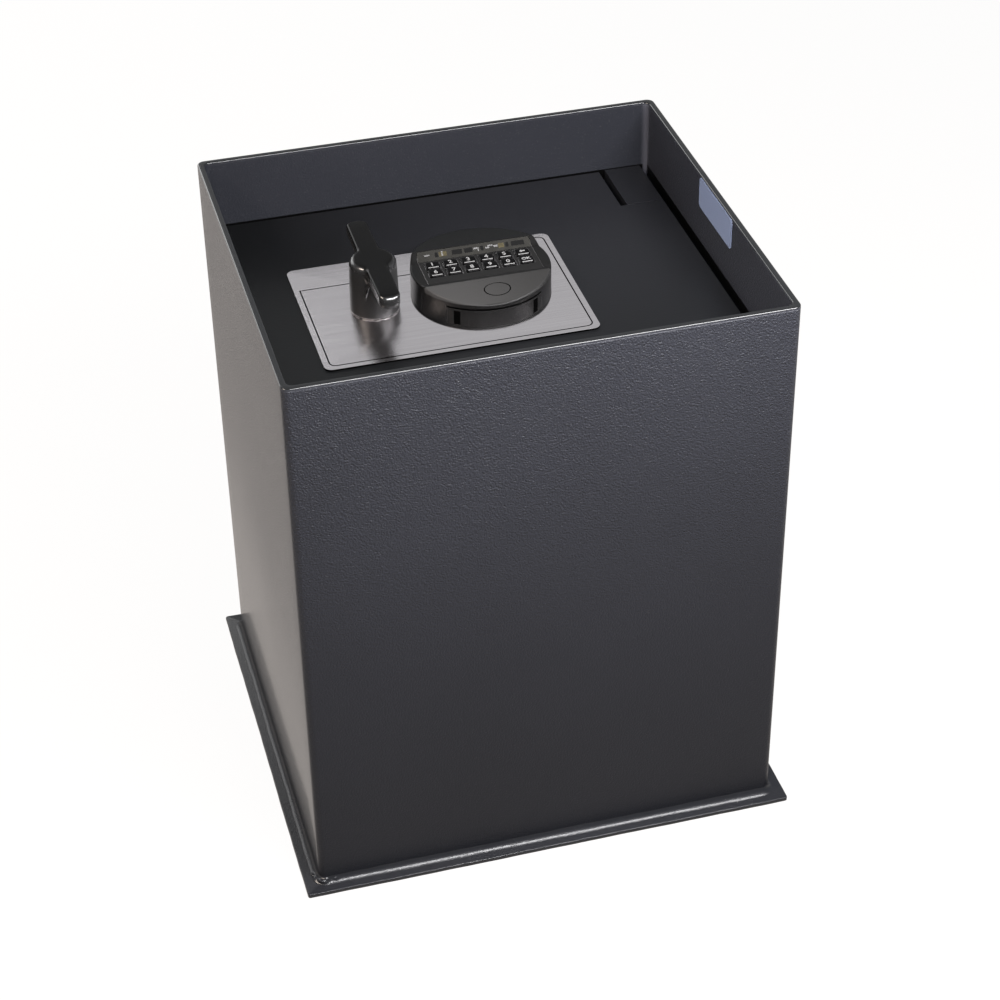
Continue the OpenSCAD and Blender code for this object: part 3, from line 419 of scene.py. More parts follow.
FINISH = {
    "powder_coat": powder_coat("powder_coat", 0.0013, 0.34),
    # The door's copy of the coat is 0.37 times as dark: painted shade of the recess it lies in
    "door_coat": powder_coat("door_coat", 0.00020, 0.38, 0.37, 0.20),
    "foot_coat": powder_coat("foot_coat", 0.00035, 0.28, 0.7, 0.30),
    "brushed_plate": brushed_plate("brushed_plate"),
    "label_film": satin("label_film", (0.140, 0.170, 0.255, 1), 0.36, 400, 0.00001),
    "bright_steel": turned_metal("bright_steel", grey(0.62), 0.22),
    "dark_steel": turned_metal("dark_steel", grey(0.10, 0.03), 0.40, depth=0.00002),
    "zinc_sheet": turned_metal("zinc_sheet", (0.60, 0.59, 0.52, 1), 0.28, (9, 320, 9)),
    "lock_casting": turned_metal("lock_casting", grey(0.50), 0.46, (700, 700, 700), 0.00004),
    "brass": turned_metal("brass", (0.75, 0.52, 0.20, 1), 0.24),
    "coil_tape": satin("coil_tape", (0.50, 0.28, 0.04, 1), 0.35),
    "handle_black": handle_black("handle_black"),
    "keypad_plastic": keypad_skin("keypad_plastic"),
    "key_panel": satin("key_panel", grey(0.006, 0.01), 0.36, 1500, 0.00002, level=0.12),
    "smoked_window": smoked_window("smoked_window"),
    "amber_lens": amber_lens("amber_lens"),
    "board_green": circuit_board("board_green"),
    "silicone": satin("silicone", grey(0.05), 0.6, 1200, 0.00001),
    "cable_sleeve": satin("cable_sleeve", grey(0.012), 0.5, 1600, 0.00003),
    "cell_wrap": satin("cell_wrap", (0.55, 0.36, 0.08, 1), 0.3, 400, 0.000005),
    "key_black": satin("key_black", grey(0.001), 0.26, 1400, 0.00001, level=0.05),
    "display_print": satin("display_print", grey(0.07), 0.45, 1400, 0.000004),
    "legend_white": satin("legend_white", grey(0.17), 0.45, 1400, 0.000004),
    "gasket_black": satin("gasket_black", grey(0.003), 0.35, 1400, 0.000004, level=0.10),
    # Matt black: the inlaid lines of the plate's border and the keypad's oval, and painted shade in
    # the drawer's seam and finger slots
    "black_inlay_and_painted_shade": satin("black_inlay_and_painted_shade", grey(0.0008), 0.9, 1400, 0.000004, level=0.0),
}
BODY_NODES = frame["record"]["behaviour"]["bodies"]
BODIES = {node: body for body, nodes in BODY_NODES.items() for node in nodes}
# The finish that each node shows: its own slot's, apart from these
SHOWN = {part["node"]: part["material_slot"] for part in frame["record"]["subparts"]}
SHOWN.update(
    door_plate="door_coat", hinge_block_rear="door_coat", hinge_block_front="door_coat",
    key_frame="key_panel", battery_drawer="keypad_plastic",
)
for node, obj in frame["nodes"].items():
    obj.data.materials.clear()
    obj.data.materials.append(FINISH[SHOWN[node]])


# Mesh tools
def tidy(mesh, sharp):
    """Merges points that fall together, turns faces outwards and smooths all but sharp edges."""
    shape = bmesh.new()
    shape.from_mesh(mesh)
    bmesh.ops.remove_doubles(shape, verts=shape.verts, dist=0.002 * MM)
    bmesh.ops.dissolve_degenerate(shape, dist=0.001 * MM, edges=shape.edges)
    bmesh.ops.recalc_face_normals(shape, faces=shape.faces)
    shape.to_mesh(mesh)
    shape.free()
    mesh.shade_smooth()
    mesh.set_sharp_from_angle(angle=math.radians(sharp))
    return mesh


def surface(name, points, wrap=(False, False), left_out=None, sharp=35):
    """A mesh from a grid of points with rows and columns: one quad between neighbours.

    wrap closes the rows or the columns into rings, and left_out masks quads that aren't made.
    """
    rows, columns = points.shape[:2]
    index = np.arange(rows * columns).reshape(rows, columns)
    right = np.roll(index, -1, 1)
    quads = np.stack([index, right, np.roll(right, -1, 0), np.roll(index, -1, 0)], -1)
    quads = quads[: rows - (not wrap[0]), : columns - (not wrap[1])]
    quads = quads[~left_out] if left_out is not None else quads.reshape(-1, 4)
    mesh = bpy.data.meshes.new(name)
    mesh.from_pydata((points.reshape(-1, 3) * MM).tolist(), [], quads.tolist())
    return tidy(mesh, sharp)


def piece(mesh, body, finish, *nodes):
    """Makes a mesh a piece of the safe: it rides on a body, and stands for the nodes given."""
    obj = bpy.data.objects.new(mesh.name, mesh)
    bpy.context.scene.collection.objects.link(obj)
    mesh.materials.clear()
    mesh.materials.append(FINISH[finish])
    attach(obj, body)
    if nodes:
        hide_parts(*nodes)
    return obj


def softened(node, width):
    """A copy of a node with its sharp edges rounded by that width, which stands for the node."""
    mesh = frame["nodes"][node].data.copy()
    mesh.name = node + "_soft"
    if "custom_normal" in mesh.attributes:
        mesh.attributes.remove(mesh.attributes["custom_normal"])
    shape = bmesh.new()
    shape.from_mesh(mesh)
    bmesh.ops.remove_doubles(shape, verts=shape.verts, dist=0.001 * MM)
    bmesh.ops.dissolve_limit(
        shape, angle_limit=math.radians(0.5), verts=shape.verts, edges=shape.edges
    )
    shape.to_mesh(mesh)
    shape.free()
    mesh.shade_smooth()
    mesh.set_sharp_from_angle(angle=math.radians(35))
    obj = piece(mesh, BODIES[node], SHOWN[node], node)
    bevel = obj.modifiers.new("rounded_edges", "BEVEL")
    bevel.width = width * MM
    bevel.segments = 2
    bevel.limit_method = "ANGLE"
    bevel.angle_limit = math.radians(40)
    bevel.harden_normals = True
    flat = obj.modifiers.new("flat_faces", "TRIANGULATE")
    flat.min_vertices = 5
    flat.keep_custom_normals = True


def slab(name, outline, middle, low, high):
    """A flat piece: an outline about its middle, from a low to a high level."""
    outline = np.array(outline) + middle
    middle = np.repeat(middle[None], len(outline), 0)
    rows = [(middle, low), (outline, low), (outline, high), (middle, high)]
    grid = np.stack([np.concatenate([r, np.full((len(r), 1), z)], -1) for r, z in rows])
    return surface(name, grid, (False, True), sharp=30)


def swept(name, grid, sharp=35):
    """A closed profile of four rows carried along the columns, and closed at its first column."""
    end = np.repeat(grid[:, :1].mean(0, keepdims=True), 4, 0)
    return surface(name, np.concatenate([end, grid], 1), (True, False), sharp=sharp)


def arc(start, end, steps):
    """Angles in radians from one angle in degrees to another."""
    return np.radians(np.linspace(start, end, steps))


def unit(angle):
    """Points of the unit circle at those angles."""
    return np.stack([np.cos(angle), np.sin(angle)], -1)


def rounded_path(half_x, half_y, radius, straight):
    """Points and outward normals round a rectangle with round corners.

    Each corner is a quarter circle in 8 steps, and each side has that many points.
    """
    points, normals = [], []
    turn = arc(0, 90, 9)
    for quarter in range(4):
        sign_x, sign_y = (1, -1, -1, 1)[quarter], (1, 1, -1, -1)[quarter]
        normal = unit(turn + quarter * np.pi / 2)
        centre = np.array([sign_x * (half_x - radius), sign_y * (half_y - radius)])
        points.append(centre + radius * normal)
        normals.append(normal)
    run_points, run_normals = [], []
    for here in range(4):
        following = (here + 1) % 4
        share = np.linspace(0, 1, straight + 2)[1:-1, None]
        run_points += [points[here], points[here][-1] * (1 - share) + points[following][0] * share]
        run_normals += [normals[here], np.repeat(normals[here][-1:], straight, 0)]
    return np.concatenate(run_points), np.concatenate(run_normals)


def ring(path, normals, outwards, heights):
    """A grid: the path moved outwards by each amount, at each height."""
    outwards, heights = (np.broadcast_to(v, (len(v), len(path))) for v in (outwards, heights))
    flat = path[None] + normals[None] * outwards[..., None]
    return np.concatenate([flat, heights[..., None]], -1)


# Body
SHELL_HIGH = span("body_shell")[1]
BASE_LOW, BASE_HIGH = span("base_plate")
CORNER_R = 5
WALL_T = 4
INNER_CORNER_R = 4.5
RIM_EDGE = 0.9
DOOR_TOP = span("door_plate")[1][2]


def body_shell():
    """The walls: an outer and an inner outline, joined by a rim with round edges.

    Each edge of the rim is a quarter circle between its wall's outline and the flat top.
    """
    outer, out = rounded_path(SHELL_HIGH[0], SHELL_HIGH[1], CORNER_R, 14)
    inner, _ = rounded_path(SHELL_HIGH[0] - WALL_T, SHELL_HIGH[1] - WALL_T, INNER_CORNER_R, 14)
    bottom, top = BASE_HIGH[2], SHELL_HIGH[2]
    turn = arc(0, 90, 6)
    away = RIM_EDGE * (1 - np.cos(turn))[:, None]
    height = (top - RIM_EDGE * (1 - np.sin(turn)))[:, None]
    low = np.array([[bottom]])
    grid = np.concatenate([
        ring(outer, out, np.array([[0.0]]), low),
        ring(outer, out, -away, height),
        ring(inner, out, away[::-1], height[::-1]),
        ring(inner, out, np.array([[0.0]]), low),
    ])
    return surface("body_walls", grid, (True, True))


def base_plate():
    """The base plate: its outline wanders a little, as cut plate does, and its edges are round."""
    path, normals = rounded_path(BASE_HIGH[0], BASE_HIGH[1], 2, 90)
    run = np.arange(len(path)) / len(path) * 2 * np.pi
    wander = 0.10 * np.sin(7 * run + 1) + 0.06 * np.sin(23 * run + 2) + 0.05 * np.sin(61 * run)
    path = path + normals * (wander - 0.2)[:, None]
    edge = 0.6
    turn = arc(0, 90, 4)
    lower = np.stack([edge * (np.sin(turn) - 1), edge * (1 - np.cos(turn))], -1)
    upper = np.stack([edge * (np.cos(turn) - 1), BASE_HIGH[2] - edge * (1 - np.sin(turn))], -1)
    profile = np.concatenate([lower, upper])
    grid = ring(path, normals, profile[:, :1], profile[:, 1:])
    poles = [np.broadcast_to([0.0, 0.0, z], (1, len(path), 3)) for z in (BASE_LOW[2], BASE_HIGH[2])]
    return surface("base_flange", np.concatenate([poles[0], grid, poles[1]]), (False, True))


def base_weld():
    """The fillet weld: a hollow curve from wall to plate, swollen and drawn in along its run.

    Its leg is 3.9 plus a sum of slow and quick waves, and a few lumps stand out at one corner.
    """
    path, normals = rounded_path(SHELL_HIGH[0], SHELL_HIGH[1], CORNER_R, 320)
    step = np.linalg.norm(np.roll(path, -1, 0) - path, axis=1)
    run = np.cumsum(step) - step
    length = step.sum()
    angle = 2 * np.pi * run / length
    leg = 3.9 + 0.16 * np.sin(11 * angle + 0.6) + 0.12 * np.sin(29 * angle + 2.1)
    leg = leg + 0.07 * np.sin(67 * angle + 1.1) + 0.03 * np.sin(2 * np.pi * run / 4.1)
    share = np.linspace(0, 1, 11)[:, None]
    bend = share * np.pi / 2
    hollow = 0.55
    out = leg * (hollow * (1 - np.cos(bend)) + (1 - hollow) * share)
    rise = leg * (hollow * (1 - np.sin(bend)) + (1 - hollow) * (1 - share))
    corner = np.argmin(path @ np.array([1.0, 1.0]))
    lumps = np.random.default_rng(7)
    places = run[corner] + lumps.normal(0, 7, 14)
    heights, sizes = lumps.uniform(0.3, 0.9, 14), lumps.uniform(0.4, 1.3, 14)
    for place, across, size in zip(places, heights, sizes):
        swell = size * np.exp(-((run - place) / 1.2) ** 2) * np.exp(-((share - across) / 0.16) ** 2)
        out, rise = out + swell * 0.7, rise + swell * 0.7
    sunk = np.full((1, len(path)), -0.2)
    out, rise = np.concatenate([sunk, out]), np.concatenate([sunk, rise])
    grid = ring(path, normals, out, rise + BASE_HIGH[2])
    return surface("foot_weld", grid, (True, True), sharp=60)


# T handle
HUB_LOW, HUB_HIGH = span("t_handle")
HANDLE_MID = (HUB_LOW + HUB_HIGH) / 2
BAR_HALF = (HUB_HIGH[1] - HUB_LOW[1]) / 2
BAR_END_HALF = 6.6
BAR_MID_HALF = 6.9
BAR_END_T = 9.6
BAR_MID_T = 10.5
BAR_CORNER = 5.2
HUB_TOP_R = 14.6
HUB_FOOT_R = 15.5
HUB_FILLET = 7
HUB_TOP_EDGE = 4.0
BAR_TOP_EDGE = 1.4
BAR_END_EDGE = 3.8
UNDER_EDGE = 4.0
UNDER_FILLET = 3.0


def handle_outline():
    """The handle from above: points, outward normals, and 1 on the bar down to 0 on the hub.

    One quarter is the bar's round end, its side, a hollow fillet and an arc of the hub; the
    other three are its mirror images.
    """
    rise = math.sqrt((HUB_TOP_R + HUB_FILLET) ** 2 - (BAR_MID_HALF + HUB_FILLET) ** 2)
    meet = math.degrees(math.atan2(rise, BAR_MID_HALF + HUB_FILLET))
    turn = arc(90, 0, 9)
    end = np.linspace(0, BAR_END_HALF - BAR_CORNER, 4)[:-1]
    end = np.stack([end, np.full(3, BAR_HALF)], -1)
    corner = unit(turn) * BAR_CORNER + [BAR_END_HALF - BAR_CORNER, BAR_HALF - BAR_CORNER]
    share = np.linspace(0, 1, 22)[1:-1, None]
    side = corner[-1:] * (1 - share) + np.array([[BAR_MID_HALF, rise]]) * share
    fillet = unit(arc(180, 180 + meet, 13)) * HUB_FILLET + [BAR_MID_HALF + HUB_FILLET, rise]
    hub = unit(arc(meet, 0, 15)[1:]) * HUB_TOP_R
    quarter = np.concatenate([end, corner, side, fillet, hub])
    fade = (1 + np.cos(np.linspace(0, np.pi, len(fillet)))) / 2
    bar = np.concatenate([np.ones(len(end) + len(corner) + len(side)), fade, np.zeros(len(hub))])
    half = np.concatenate([quarter, quarter[-2::-1] * [1, -1]])
    half_bar = np.concatenate([bar, bar[-2::-1]])
    outline = np.concatenate([half, half[-2:0:-1] * [-1, 1]])
    weight = np.concatenate([half_bar, half_bar[-2:0:-1]])
    along = np.roll(outline, -1, 0) - np.roll(outline, 1, 0)
    normals = np.stack([-along[:, 1], along[:, 0]], -1)
    normals = normals / np.linalg.norm(normals, axis=1, keepdims=True)
    outwards = np.sign(np.sum(normals * outline, 1).mean())
    return outline, normals * outwards, weight


def t_handle():
    """The handle: its outline carried down from a round top edge.

    Bar columns turn in under the bar, run to the hub and down it; hub columns go straight down,
    and those of the fillet between are a mix of both by weight.
    """
    outline, normals, weight = handle_outline()
    top, foot = HUB_HIGH[2], HUB_LOW[2]
    polar = outline / np.linalg.norm(outline, axis=1, keepdims=True)
    thick = np.interp(np.abs(outline[:, 1]), [HUB_TOP_R, BAR_HALF], [BAR_MID_T, BAR_END_T])

    def level(flat, height):
        height = np.broadcast_to(height, len(flat))
        return np.concatenate([flat, height[:, None]], -1)

    def hub_radius(height):
        return HUB_TOP_R + (HUB_FOOT_R - HUB_TOP_R) * (top - height) / (top - foot)

    rows = []
    nose = np.interp(np.abs(outline[:, 1]), [BAR_HALF - 5, BAR_HALF], [BAR_TOP_EDGE, BAR_END_EDGE])
    edge = (nose * weight + HUB_TOP_EDGE * (1 - weight))[:, None]
    inset = outline - normals * edge
    for share in np.linspace(0, 1, 6)[:-1]:
        rows.append(level(inset * share, top))
    for turn in arc(0, 90, 8):
        flat = outline - normals * edge * (1 - math.sin(turn))
        rows.append(level(flat, top - edge[:, 0] * (1 - math.cos(turn))))
    under = top - thick
    start = under + UNDER_EDGE
    for share in np.linspace(0, 1, 5)[1:]:
        height = (top - edge[:, 0]) * (1 - share) + start * share
        grown = (hub_radius(height) / HUB_TOP_R) ** (1 - weight)
        rows.append(level(outline * grown[:, None], height))
    tracks = []
    for turn in arc(0, 90, 7)[1:]:
        flat = outline - normals * UNDER_EDGE * (1 - math.cos(turn))
        tracks.append((flat, start - UNDER_EDGE * math.sin(turn)))
    inner = outline - normals * UNDER_EDGE
    neck = hub_radius(under) + UNDER_FILLET
    for share in np.linspace(0, 1, 9)[1:]:
        tracks.append((inner * (1 - share) + polar * neck[:, None] * share, under))
    for turn in arc(0, 90, 7)[1:]:
        radius = neck - UNDER_FILLET * math.sin(turn)
        tracks.append((polar * radius[:, None], under - UNDER_FILLET * (1 - math.cos(turn))))
    low = foot + 0.9
    waist = under - UNDER_FILLET
    for share in np.linspace(0, 1, 7)[1:]:
        height = waist * (1 - share) + low * share
        tracks.append((polar * hub_radius(height)[:, None], height))
    for count, (flat, height) in enumerate(tracks, 1):
        plain = start * (1 - count / len(tracks)) + low * (count / len(tracks))
        straight = polar * hub_radius(plain)[:, None]
        share = weight[:, None]
        height = height * weight + plain * (1 - weight)
        rows.append(level(flat * share + straight * (1 - share), height))
    for inset_r, height in ((0.15, foot + 0.35), (0.5, foot + 0.08), (1.0, foot)):
        rows.append(level(polar * (HUB_FOOT_R - inset_r), height))
    rows.append(level(polar * 0, foot))
    grid = np.stack(rows) + [HANDLE_MID[0], HANDLE_MID[1], 0]
    return surface("handle_casting", grid, (False, True), sharp=50)


# Keypad
PAD_LOW, PAD_HIGH = span("keypad_housing")
PAD_X, PAD_Y = (PAD_LOW[0] + PAD_HIGH[0]) / 2, (PAD_LOW[1] + PAD_HIGH[1]) / 2
PAD_R = (PAD_HIGH[0] - PAD_LOW[0]) / 2
PAD_WALL = 2.5
PAD_FOOT = PAD_LOW[2] - DOOR_TOP
PAD_EDGE = 1.3
BAND = (-14.0, 13.0)
RIDGE_Y = 19.0
BROW_Y = -17.0
INSERT_HALF = 37.0
BAND_Z, RIDGE_Z = 21, 25.5
PAD_SIDE = np.array([
    (-44, 18), (BROW_Y, 22), (BAND[0], BAND_Z), (BAND[1], BAND_Z), (RIDGE_Y, RIDGE_Z), (44, 22.7)
])
POCKET_Z = 18.6
WINDOW_T = 1.95
DRAWER_HALF = 30.3
DRAWER_TOP = 15.7
GROOVES = (71, 98)
GROOVE_Z = (4, 15)


def pad_height(x, y):
    """Height of the keypad above the door: a side profile with soft corners, and a crown.

    The crown is 0.9 sin(pi t) (1 - (x / radius)^2), with t from 0 at the front to 1 at the brow.
    """
    reach = np.where(y < -5, 1.8, 0.4)
    steps = np.linspace(-1, 1, 9)
    height = np.mean([np.interp(y + d * reach, PAD_SIDE[:, 0], PAD_SIDE[:, 1]) for d in steps], 0)
    front = np.clip((y + PAD_R) / (BROW_Y + PAD_R), 0, 1)
    crown = 0.9 * np.sin(np.pi * front) * (1 - (x / PAD_R) ** 2)
    return height + np.where(y < BROW_Y, crown, 0)


def keypad_housing():
    """The keypad's shell, as a ring of points across it for each row from front to back.

    A row goes up the left wall, over the rim's quarter circle and the top, and down the right
    wall, then back along the inside. Rows lie closer at the front and back, and in pairs where
    a pocket's wall stands. The top is open under the keys, where outside and inside meet.
    """
    tight = 0.03
    rows = -PAD_R * np.cos(arc(0, 180, 73))
    notch = -math.sqrt(PAD_R ** 2 - DRAWER_HALF ** 2)
    pairs = [BAND[0], BAND[0] + 1, BAND[1] - 1, BAND[1], RIDGE_Y, notch]
    extra = [p + d for p in pairs for d in (-tight, tight)]
    beside = (-1.8, -1.2, -0.7, -0.35, 0.35, 0.7, 1.2, 1.8)
    extra += [k + d for k in (BROW_Y, BAND[0], RIDGE_Y) for d in beside]
    for angle in GROOVES:
        middle = -PAD_R * math.cos(math.radians(angle))
        extra += [middle + d for d in (-0.5, -0.42, 0.42, 0.5)]
    y = np.unique(np.round(np.concatenate([rows, extra]), 4))[:, None]
    half = np.sqrt(np.maximum(PAD_R ** 2 - y ** 2, 0))

    turn = arc(0, 90, 7)[None]
    rim_r = PAD_R - PAD_EDGE * (1 - np.cos(turn))
    rim_x = np.sqrt(np.maximum(rim_r ** 2 - y ** 2, 0))
    block = np.minimum(INSERT_HALF, 0.93 * rim_x[:, -1:])
    shelf = rim_x[:, -1:] + (block + tight - rim_x[:, -1:]) * np.linspace(0, 1, 5)[None, 1:]
    inside = np.array([1 - tight / INSERT_HALF * 2, 0.975, 0.973])
    middle = np.concatenate([block * inside[None], block * np.linspace(0.9, 0, 10)[None]], 1)
    x_right = np.concatenate([rim_x, shelf, middle], 1)
    x_top = np.concatenate([-x_right, x_right[:, -2::-1]], 1)
    y_top = np.broadcast_to(y, x_top.shape)
    reach = np.sqrt(x_top ** 2 + y_top ** 2)
    over = np.clip(reach - (PAD_R - PAD_EDGE), 0, PAD_EDGE)
    drop = PAD_EDGE - np.sqrt(np.maximum(PAD_EDGE ** 2 - over ** 2, 0))
    height = pad_height(x_top, y_top)
    within = np.abs(x_top) < block
    in_band = within & (y > BAND[0]) & (y < BAND[1])
    in_window = within & (y > BAND[1]) & (y < RIDGE_Y)
    z_top = height - drop
    z_top = np.where(in_band, POCKET_Z, z_top)
    slope = np.interp(y, [BAND[1], RIDGE_Y], [BAND_Z, RIDGE_Z])
    z_top = np.where(in_window, slope - WINDOW_T, z_top)

    levels = np.array([0, 0.02, 0.30, 0.32, 0.78, 0.80, 1])
    foot = np.where(y < notch, DRAWER_TOP, PAD_FOOT)
    z_wall = foot + (z_top[:, :1] - foot) * levels[None, :-1]
    x_wall = -np.broadcast_to(half, z_wall.shape)
    around = np.degrees(np.arccos(np.clip(-y / PAD_R, -1, 1)))
    grooved = np.zeros_like(z_wall, bool)
    for angle in GROOVES:
        near = np.abs(around - angle) < 0.6
        grooved |= near & (z_wall > GROOVE_Z[0]) & (z_wall < GROOVE_Z[1])
    inset = np.where(grooved, 1 - 0.5 / PAD_R, 1)
    left = np.stack([x_wall * inset, np.broadcast_to(y, z_wall.shape) * inset, z_wall], -1)
    over_top = np.stack([x_top, y_top, z_top], -1)
    right = left[:, ::-1] * [-1, 1, 1]

    inner_r = PAD_R - PAD_WALL
    y_in = np.clip(y, -inner_r, inner_r)
    half_in = np.sqrt(np.maximum(inner_r ** 2 - y_in ** 2, 0))
    block_in = np.minimum(block * inside[1], half_in)
    x_in = np.concatenate([half_in, block_in, -block_in, -half_in], 1)
    z_in = np.broadcast_to(np.interp(y_in, PAD_SIDE[:, 0], PAD_SIDE[:, 1]) - 3.6, x_in.shape)
    hole = (y > BAND[0] + 0.9) & (y < BAND[1] - 0.9)
    under_keys = hole & (np.abs(x_in) <= block_in + 1e-6) & (np.abs(x_in) > 30)
    z_in = np.where(under_keys, POCKET_Z, z_in)
    ceiling = np.stack([x_in, np.broadcast_to(y_in, x_in.shape), z_in], -1)
    wall_in = np.stack([half_in, y_in, foot], -1)
    other_in = np.stack([-half_in, y_in, foot], -1)
    grid = np.concatenate([left, over_top, right, wall_in, ceiling, other_in], 1)

    columns = grid.shape[1]
    row_hole = ((y[:-1, 0] > BAND[0] + 0.95) & (y[1:, 0] < BAND[1] - 0.95))[:, None]
    column_hole = np.zeros(columns, bool)
    first = left.shape[1]
    inside_block = np.abs(x_top[len(y) // 2]) <= INSERT_HALF * 0.9751
    marked = np.flatnonzero(inside_block) + first
    column_hole[marked[:-1]] = True
    column_hole[first + over_top.shape[1] + right.shape[1] + 2] = True
    left_out = row_hole & column_hole[None]
    grid = grid + [PAD_X, PAD_Y, DOOR_TOP]
    return surface("keypad_shell", grid, (False, True), left_out, sharp=40)


FOOT_RING_R = PAD_R + 0.1
FOOT_RING_EDGE = 0.4
FOOT_RING_Z = 340.1
SEAM_SHADE_ARC = (222, 318)
SEAM_SHADE_R = (43.0, 43.8)
SEAM_SHADE_Z = (14.3, 16.9)
SLOT_R = (PAD_R - 2.6, PAD_R + 0.04)
SLOT_Z = (341.7, 351.1)
SLOT_X = {"left": (-26.6, -23.1), "right": (23.4, 26.9)}
OVAL_MID = (0.7, -27.0)
OVAL_HALF = (8.5, 6.2)


def keypad_foot():
    """A low ring round the keypad's foot, under the drawer: a rounded profile turned about Z."""
    outer = unit(arc(0, 90, 5)) * FOOT_RING_EDGE + [FOOT_RING_R - FOOT_RING_EDGE, FOOT_RING_Z]
    inner_r, low, high = PAD_R - 2, PAD_LOW[2], FOOT_RING_Z + FOOT_RING_EDGE
    profile = np.concatenate([[[FOOT_RING_R, low]], outer, [[inner_r, high], [inner_r, low]]])
    flat = unit(arc(0, 360, 145)[:-1])
    grid = ring(np.zeros_like(flat), flat, profile[:, :1], profile[:, 1:])
    return surface("keypad_foot", grid + [PAD_X, PAD_Y, 0], (True, True))


def seam_painted_shade():
    """A matt black band behind the seam over the battery drawer, painted shade for the seam's gap:
    an arc carried up a short wall.
    """
    flat = unit(arc(*SEAM_SHADE_ARC, 49))
    (near, far), (low, high) = SEAM_SHADE_R, SEAM_SHADE_Z
    rows = []
    for radius, height in ((far, low), (far, high), (near, high), (near, low)):
        rows.append(np.concatenate([flat * radius, np.full((len(flat), 1), height)], -1))
    return swept("seam_painted_shade", np.stack(rows) + [PAD_X, PAD_Y, DOOR_TOP])


def drawer_slot(side):
    """A finger slot of the battery drawer: a matt black field, painted shade for the slot's hollow,
    that follows the keypad's circle.
    """
    x = np.linspace(*SLOT_X[side], 7)
    (deep, proud), (low, high) = SLOT_R, SLOT_Z
    rows = []
    for radius, height in ((deep, low), (proud, low), (proud, high), (deep, high)):
        y = -np.sqrt(radius ** 2 - x ** 2)
        rows.append(np.stack([x + PAD_X, y + PAD_Y, np.full(len(x), height)], -1))
    return swept("drawer_slot_" + side, np.stack(rows), sharp=30)


def oval_line():
    """A bare oval line inlaid in the keypad's dome: a thin band that follows the dome's height."""
    flat = unit(arc(0, 360, 97)[:-1]) * OVAL_HALF
    rows = []
    for scale, rise in ((0.97, -0.3), (0.91, 0.012), (1.0, 0.012), (0.95, -0.3)):
        place = flat * scale + np.array(OVAL_MID)
        height = pad_height(place[:, 0] - PAD_X, place[:, 1] - PAD_Y) + DOOR_TOP + rise
        rows.append(np.concatenate([place, height[:, None]], -1))
    return surface("keypad_oval", np.stack(rows), (True, True), sharp=30)


# Display
WINDOW_RUN = np.array([BAND[1] + PAD_Y, RIDGE_Y + PAD_Y])
WINDOW_RISE = np.array([BAND_Z, RIDGE_Z]) + DOOR_TOP
FIELD = (0.30, 0.72)
DARK_FIELDS = [
    (-25.3, -23.2), (-14.2, -7.6), (-6.2, -1.0), (4.2, 6.2), (20.4, 22.4), (24.2, 32.6)
]
LIGHT_FIELDS = [(-22.6, -17.6), (15.8, 19.6)]
MARKS = [
    (-32, -28.6, 0.5, 0.62), (-20.9, -20.1, 0.34, 0.80), (-0.2, 2.2, 0.5, 0.64),
    (2.4, 3.1, 0.28, 0.64), (7.4, 10.0, 0.42, 0.54), (9.0, 12.4, 0.58, 0.70),
    (12.8, 15.4, 0.44, 0.62),
]


def on_window(name, x_low, x_high, low, high, finish, proud=0.03):
    """A thin inlay on the display's slope, from low to high as shares of the slope's length."""
    corners = np.array([(x_low, low), (x_high, low), (x_high, high), (x_low, high)], float)
    y = np.interp(corners[:, 1], [0, 1], WINDOW_RUN)
    z = np.interp(corners[:, 1], [0, 1], WINDOW_RISE)
    base = np.stack([corners[:, 0] + PAD_X, y, z], -1)
    normal = np.array([0, WINDOW_RISE[0] - WINDOW_RISE[1], WINDOW_RUN[1] - WINDOW_RUN[0]])
    normal = normal / np.linalg.norm(normal)
    middle = np.repeat(base.mean(0)[None], 4, 0)
    down, up = normal * 0.2, normal * proud
    grid = np.stack([middle - down, base - down, base + up, middle + up])
    piece(surface(name, grid, (False, True), sharp=30), "door", finish)


def face_sheet():
    """The face plate: a rounded rectangle with a quarter circle as its top edge."""
    low, high = span("face_plate")
    middle, half = (low + high) / 2, (high - low) / 2
    path, out = rounded_path(half[0], half[1], 5, 10)
    turn = arc(0, 90, 5)
    edge = 0.05
    away = np.concatenate([[0], edge * (np.cos(turn) - 1)])[:, None]
    height = np.concatenate([[low[2]], high[2] - edge * (1 - np.sin(turn))])[:, None]
    grid = ring(path, out, away, height)
    poles = [np.broadcast_to([0.0, 0.0, z], (1, len(path), 3)) for z in (low[2], high[2])]
    grid = np.concatenate([poles[0], grid, poles[1]]) + [middle[0], middle[1], 0]
    return surface("face_sheet", grid, (False, True))


# Corners of the engraved line: place, the side that each is on, and whether it is round
BORDER = (
    (54.5, 59.5, 1, 1, True), (-1.8, 59.5, -1, 1, False), (-1.8, 37.5, -1, 1, False),
    (-110.5, 37.5, -1, 1, False), (-110.5, -53.5, -1, -1, True), (54.5, -53.5, 1, -1, True),
)
BORDER_R = 4.0
BORDER_HALF = 0.43


def border_line():
    """The black line engraved in the face plate: a flat band along its border, as three rings.

    Three corners are quarter circles, and three are sharp, where the line steps round the header.
    """
    top = span("face_plate")[1][2] + 0.02
    points, normals = [], []
    for x, y, side_x, side_y, is_round in BORDER:
        if is_round:
            start = math.atan2(side_y, side_x) - math.pi / 4
            normal = unit(start + np.linspace(0, math.pi / 2, 9))
            middle = np.array([x - side_x * BORDER_R, y - side_y * BORDER_R])
            points.append(middle + BORDER_R * normal)
            normals.append(normal)
        else:
            points.append(np.array([[x, y]], float))
            normals.append(np.array([[side_x, side_y]], float))
    path, out = np.concatenate(points), np.concatenate(normals)
    outwards = np.array([[0.0], [-BORDER_HALF], [BORDER_HALF]])
    grid = ring(path, out, outwards, np.array([[top - 0.3], [top], [top]]))
    return surface("plate_border", grid, (True, True), sharp=30)


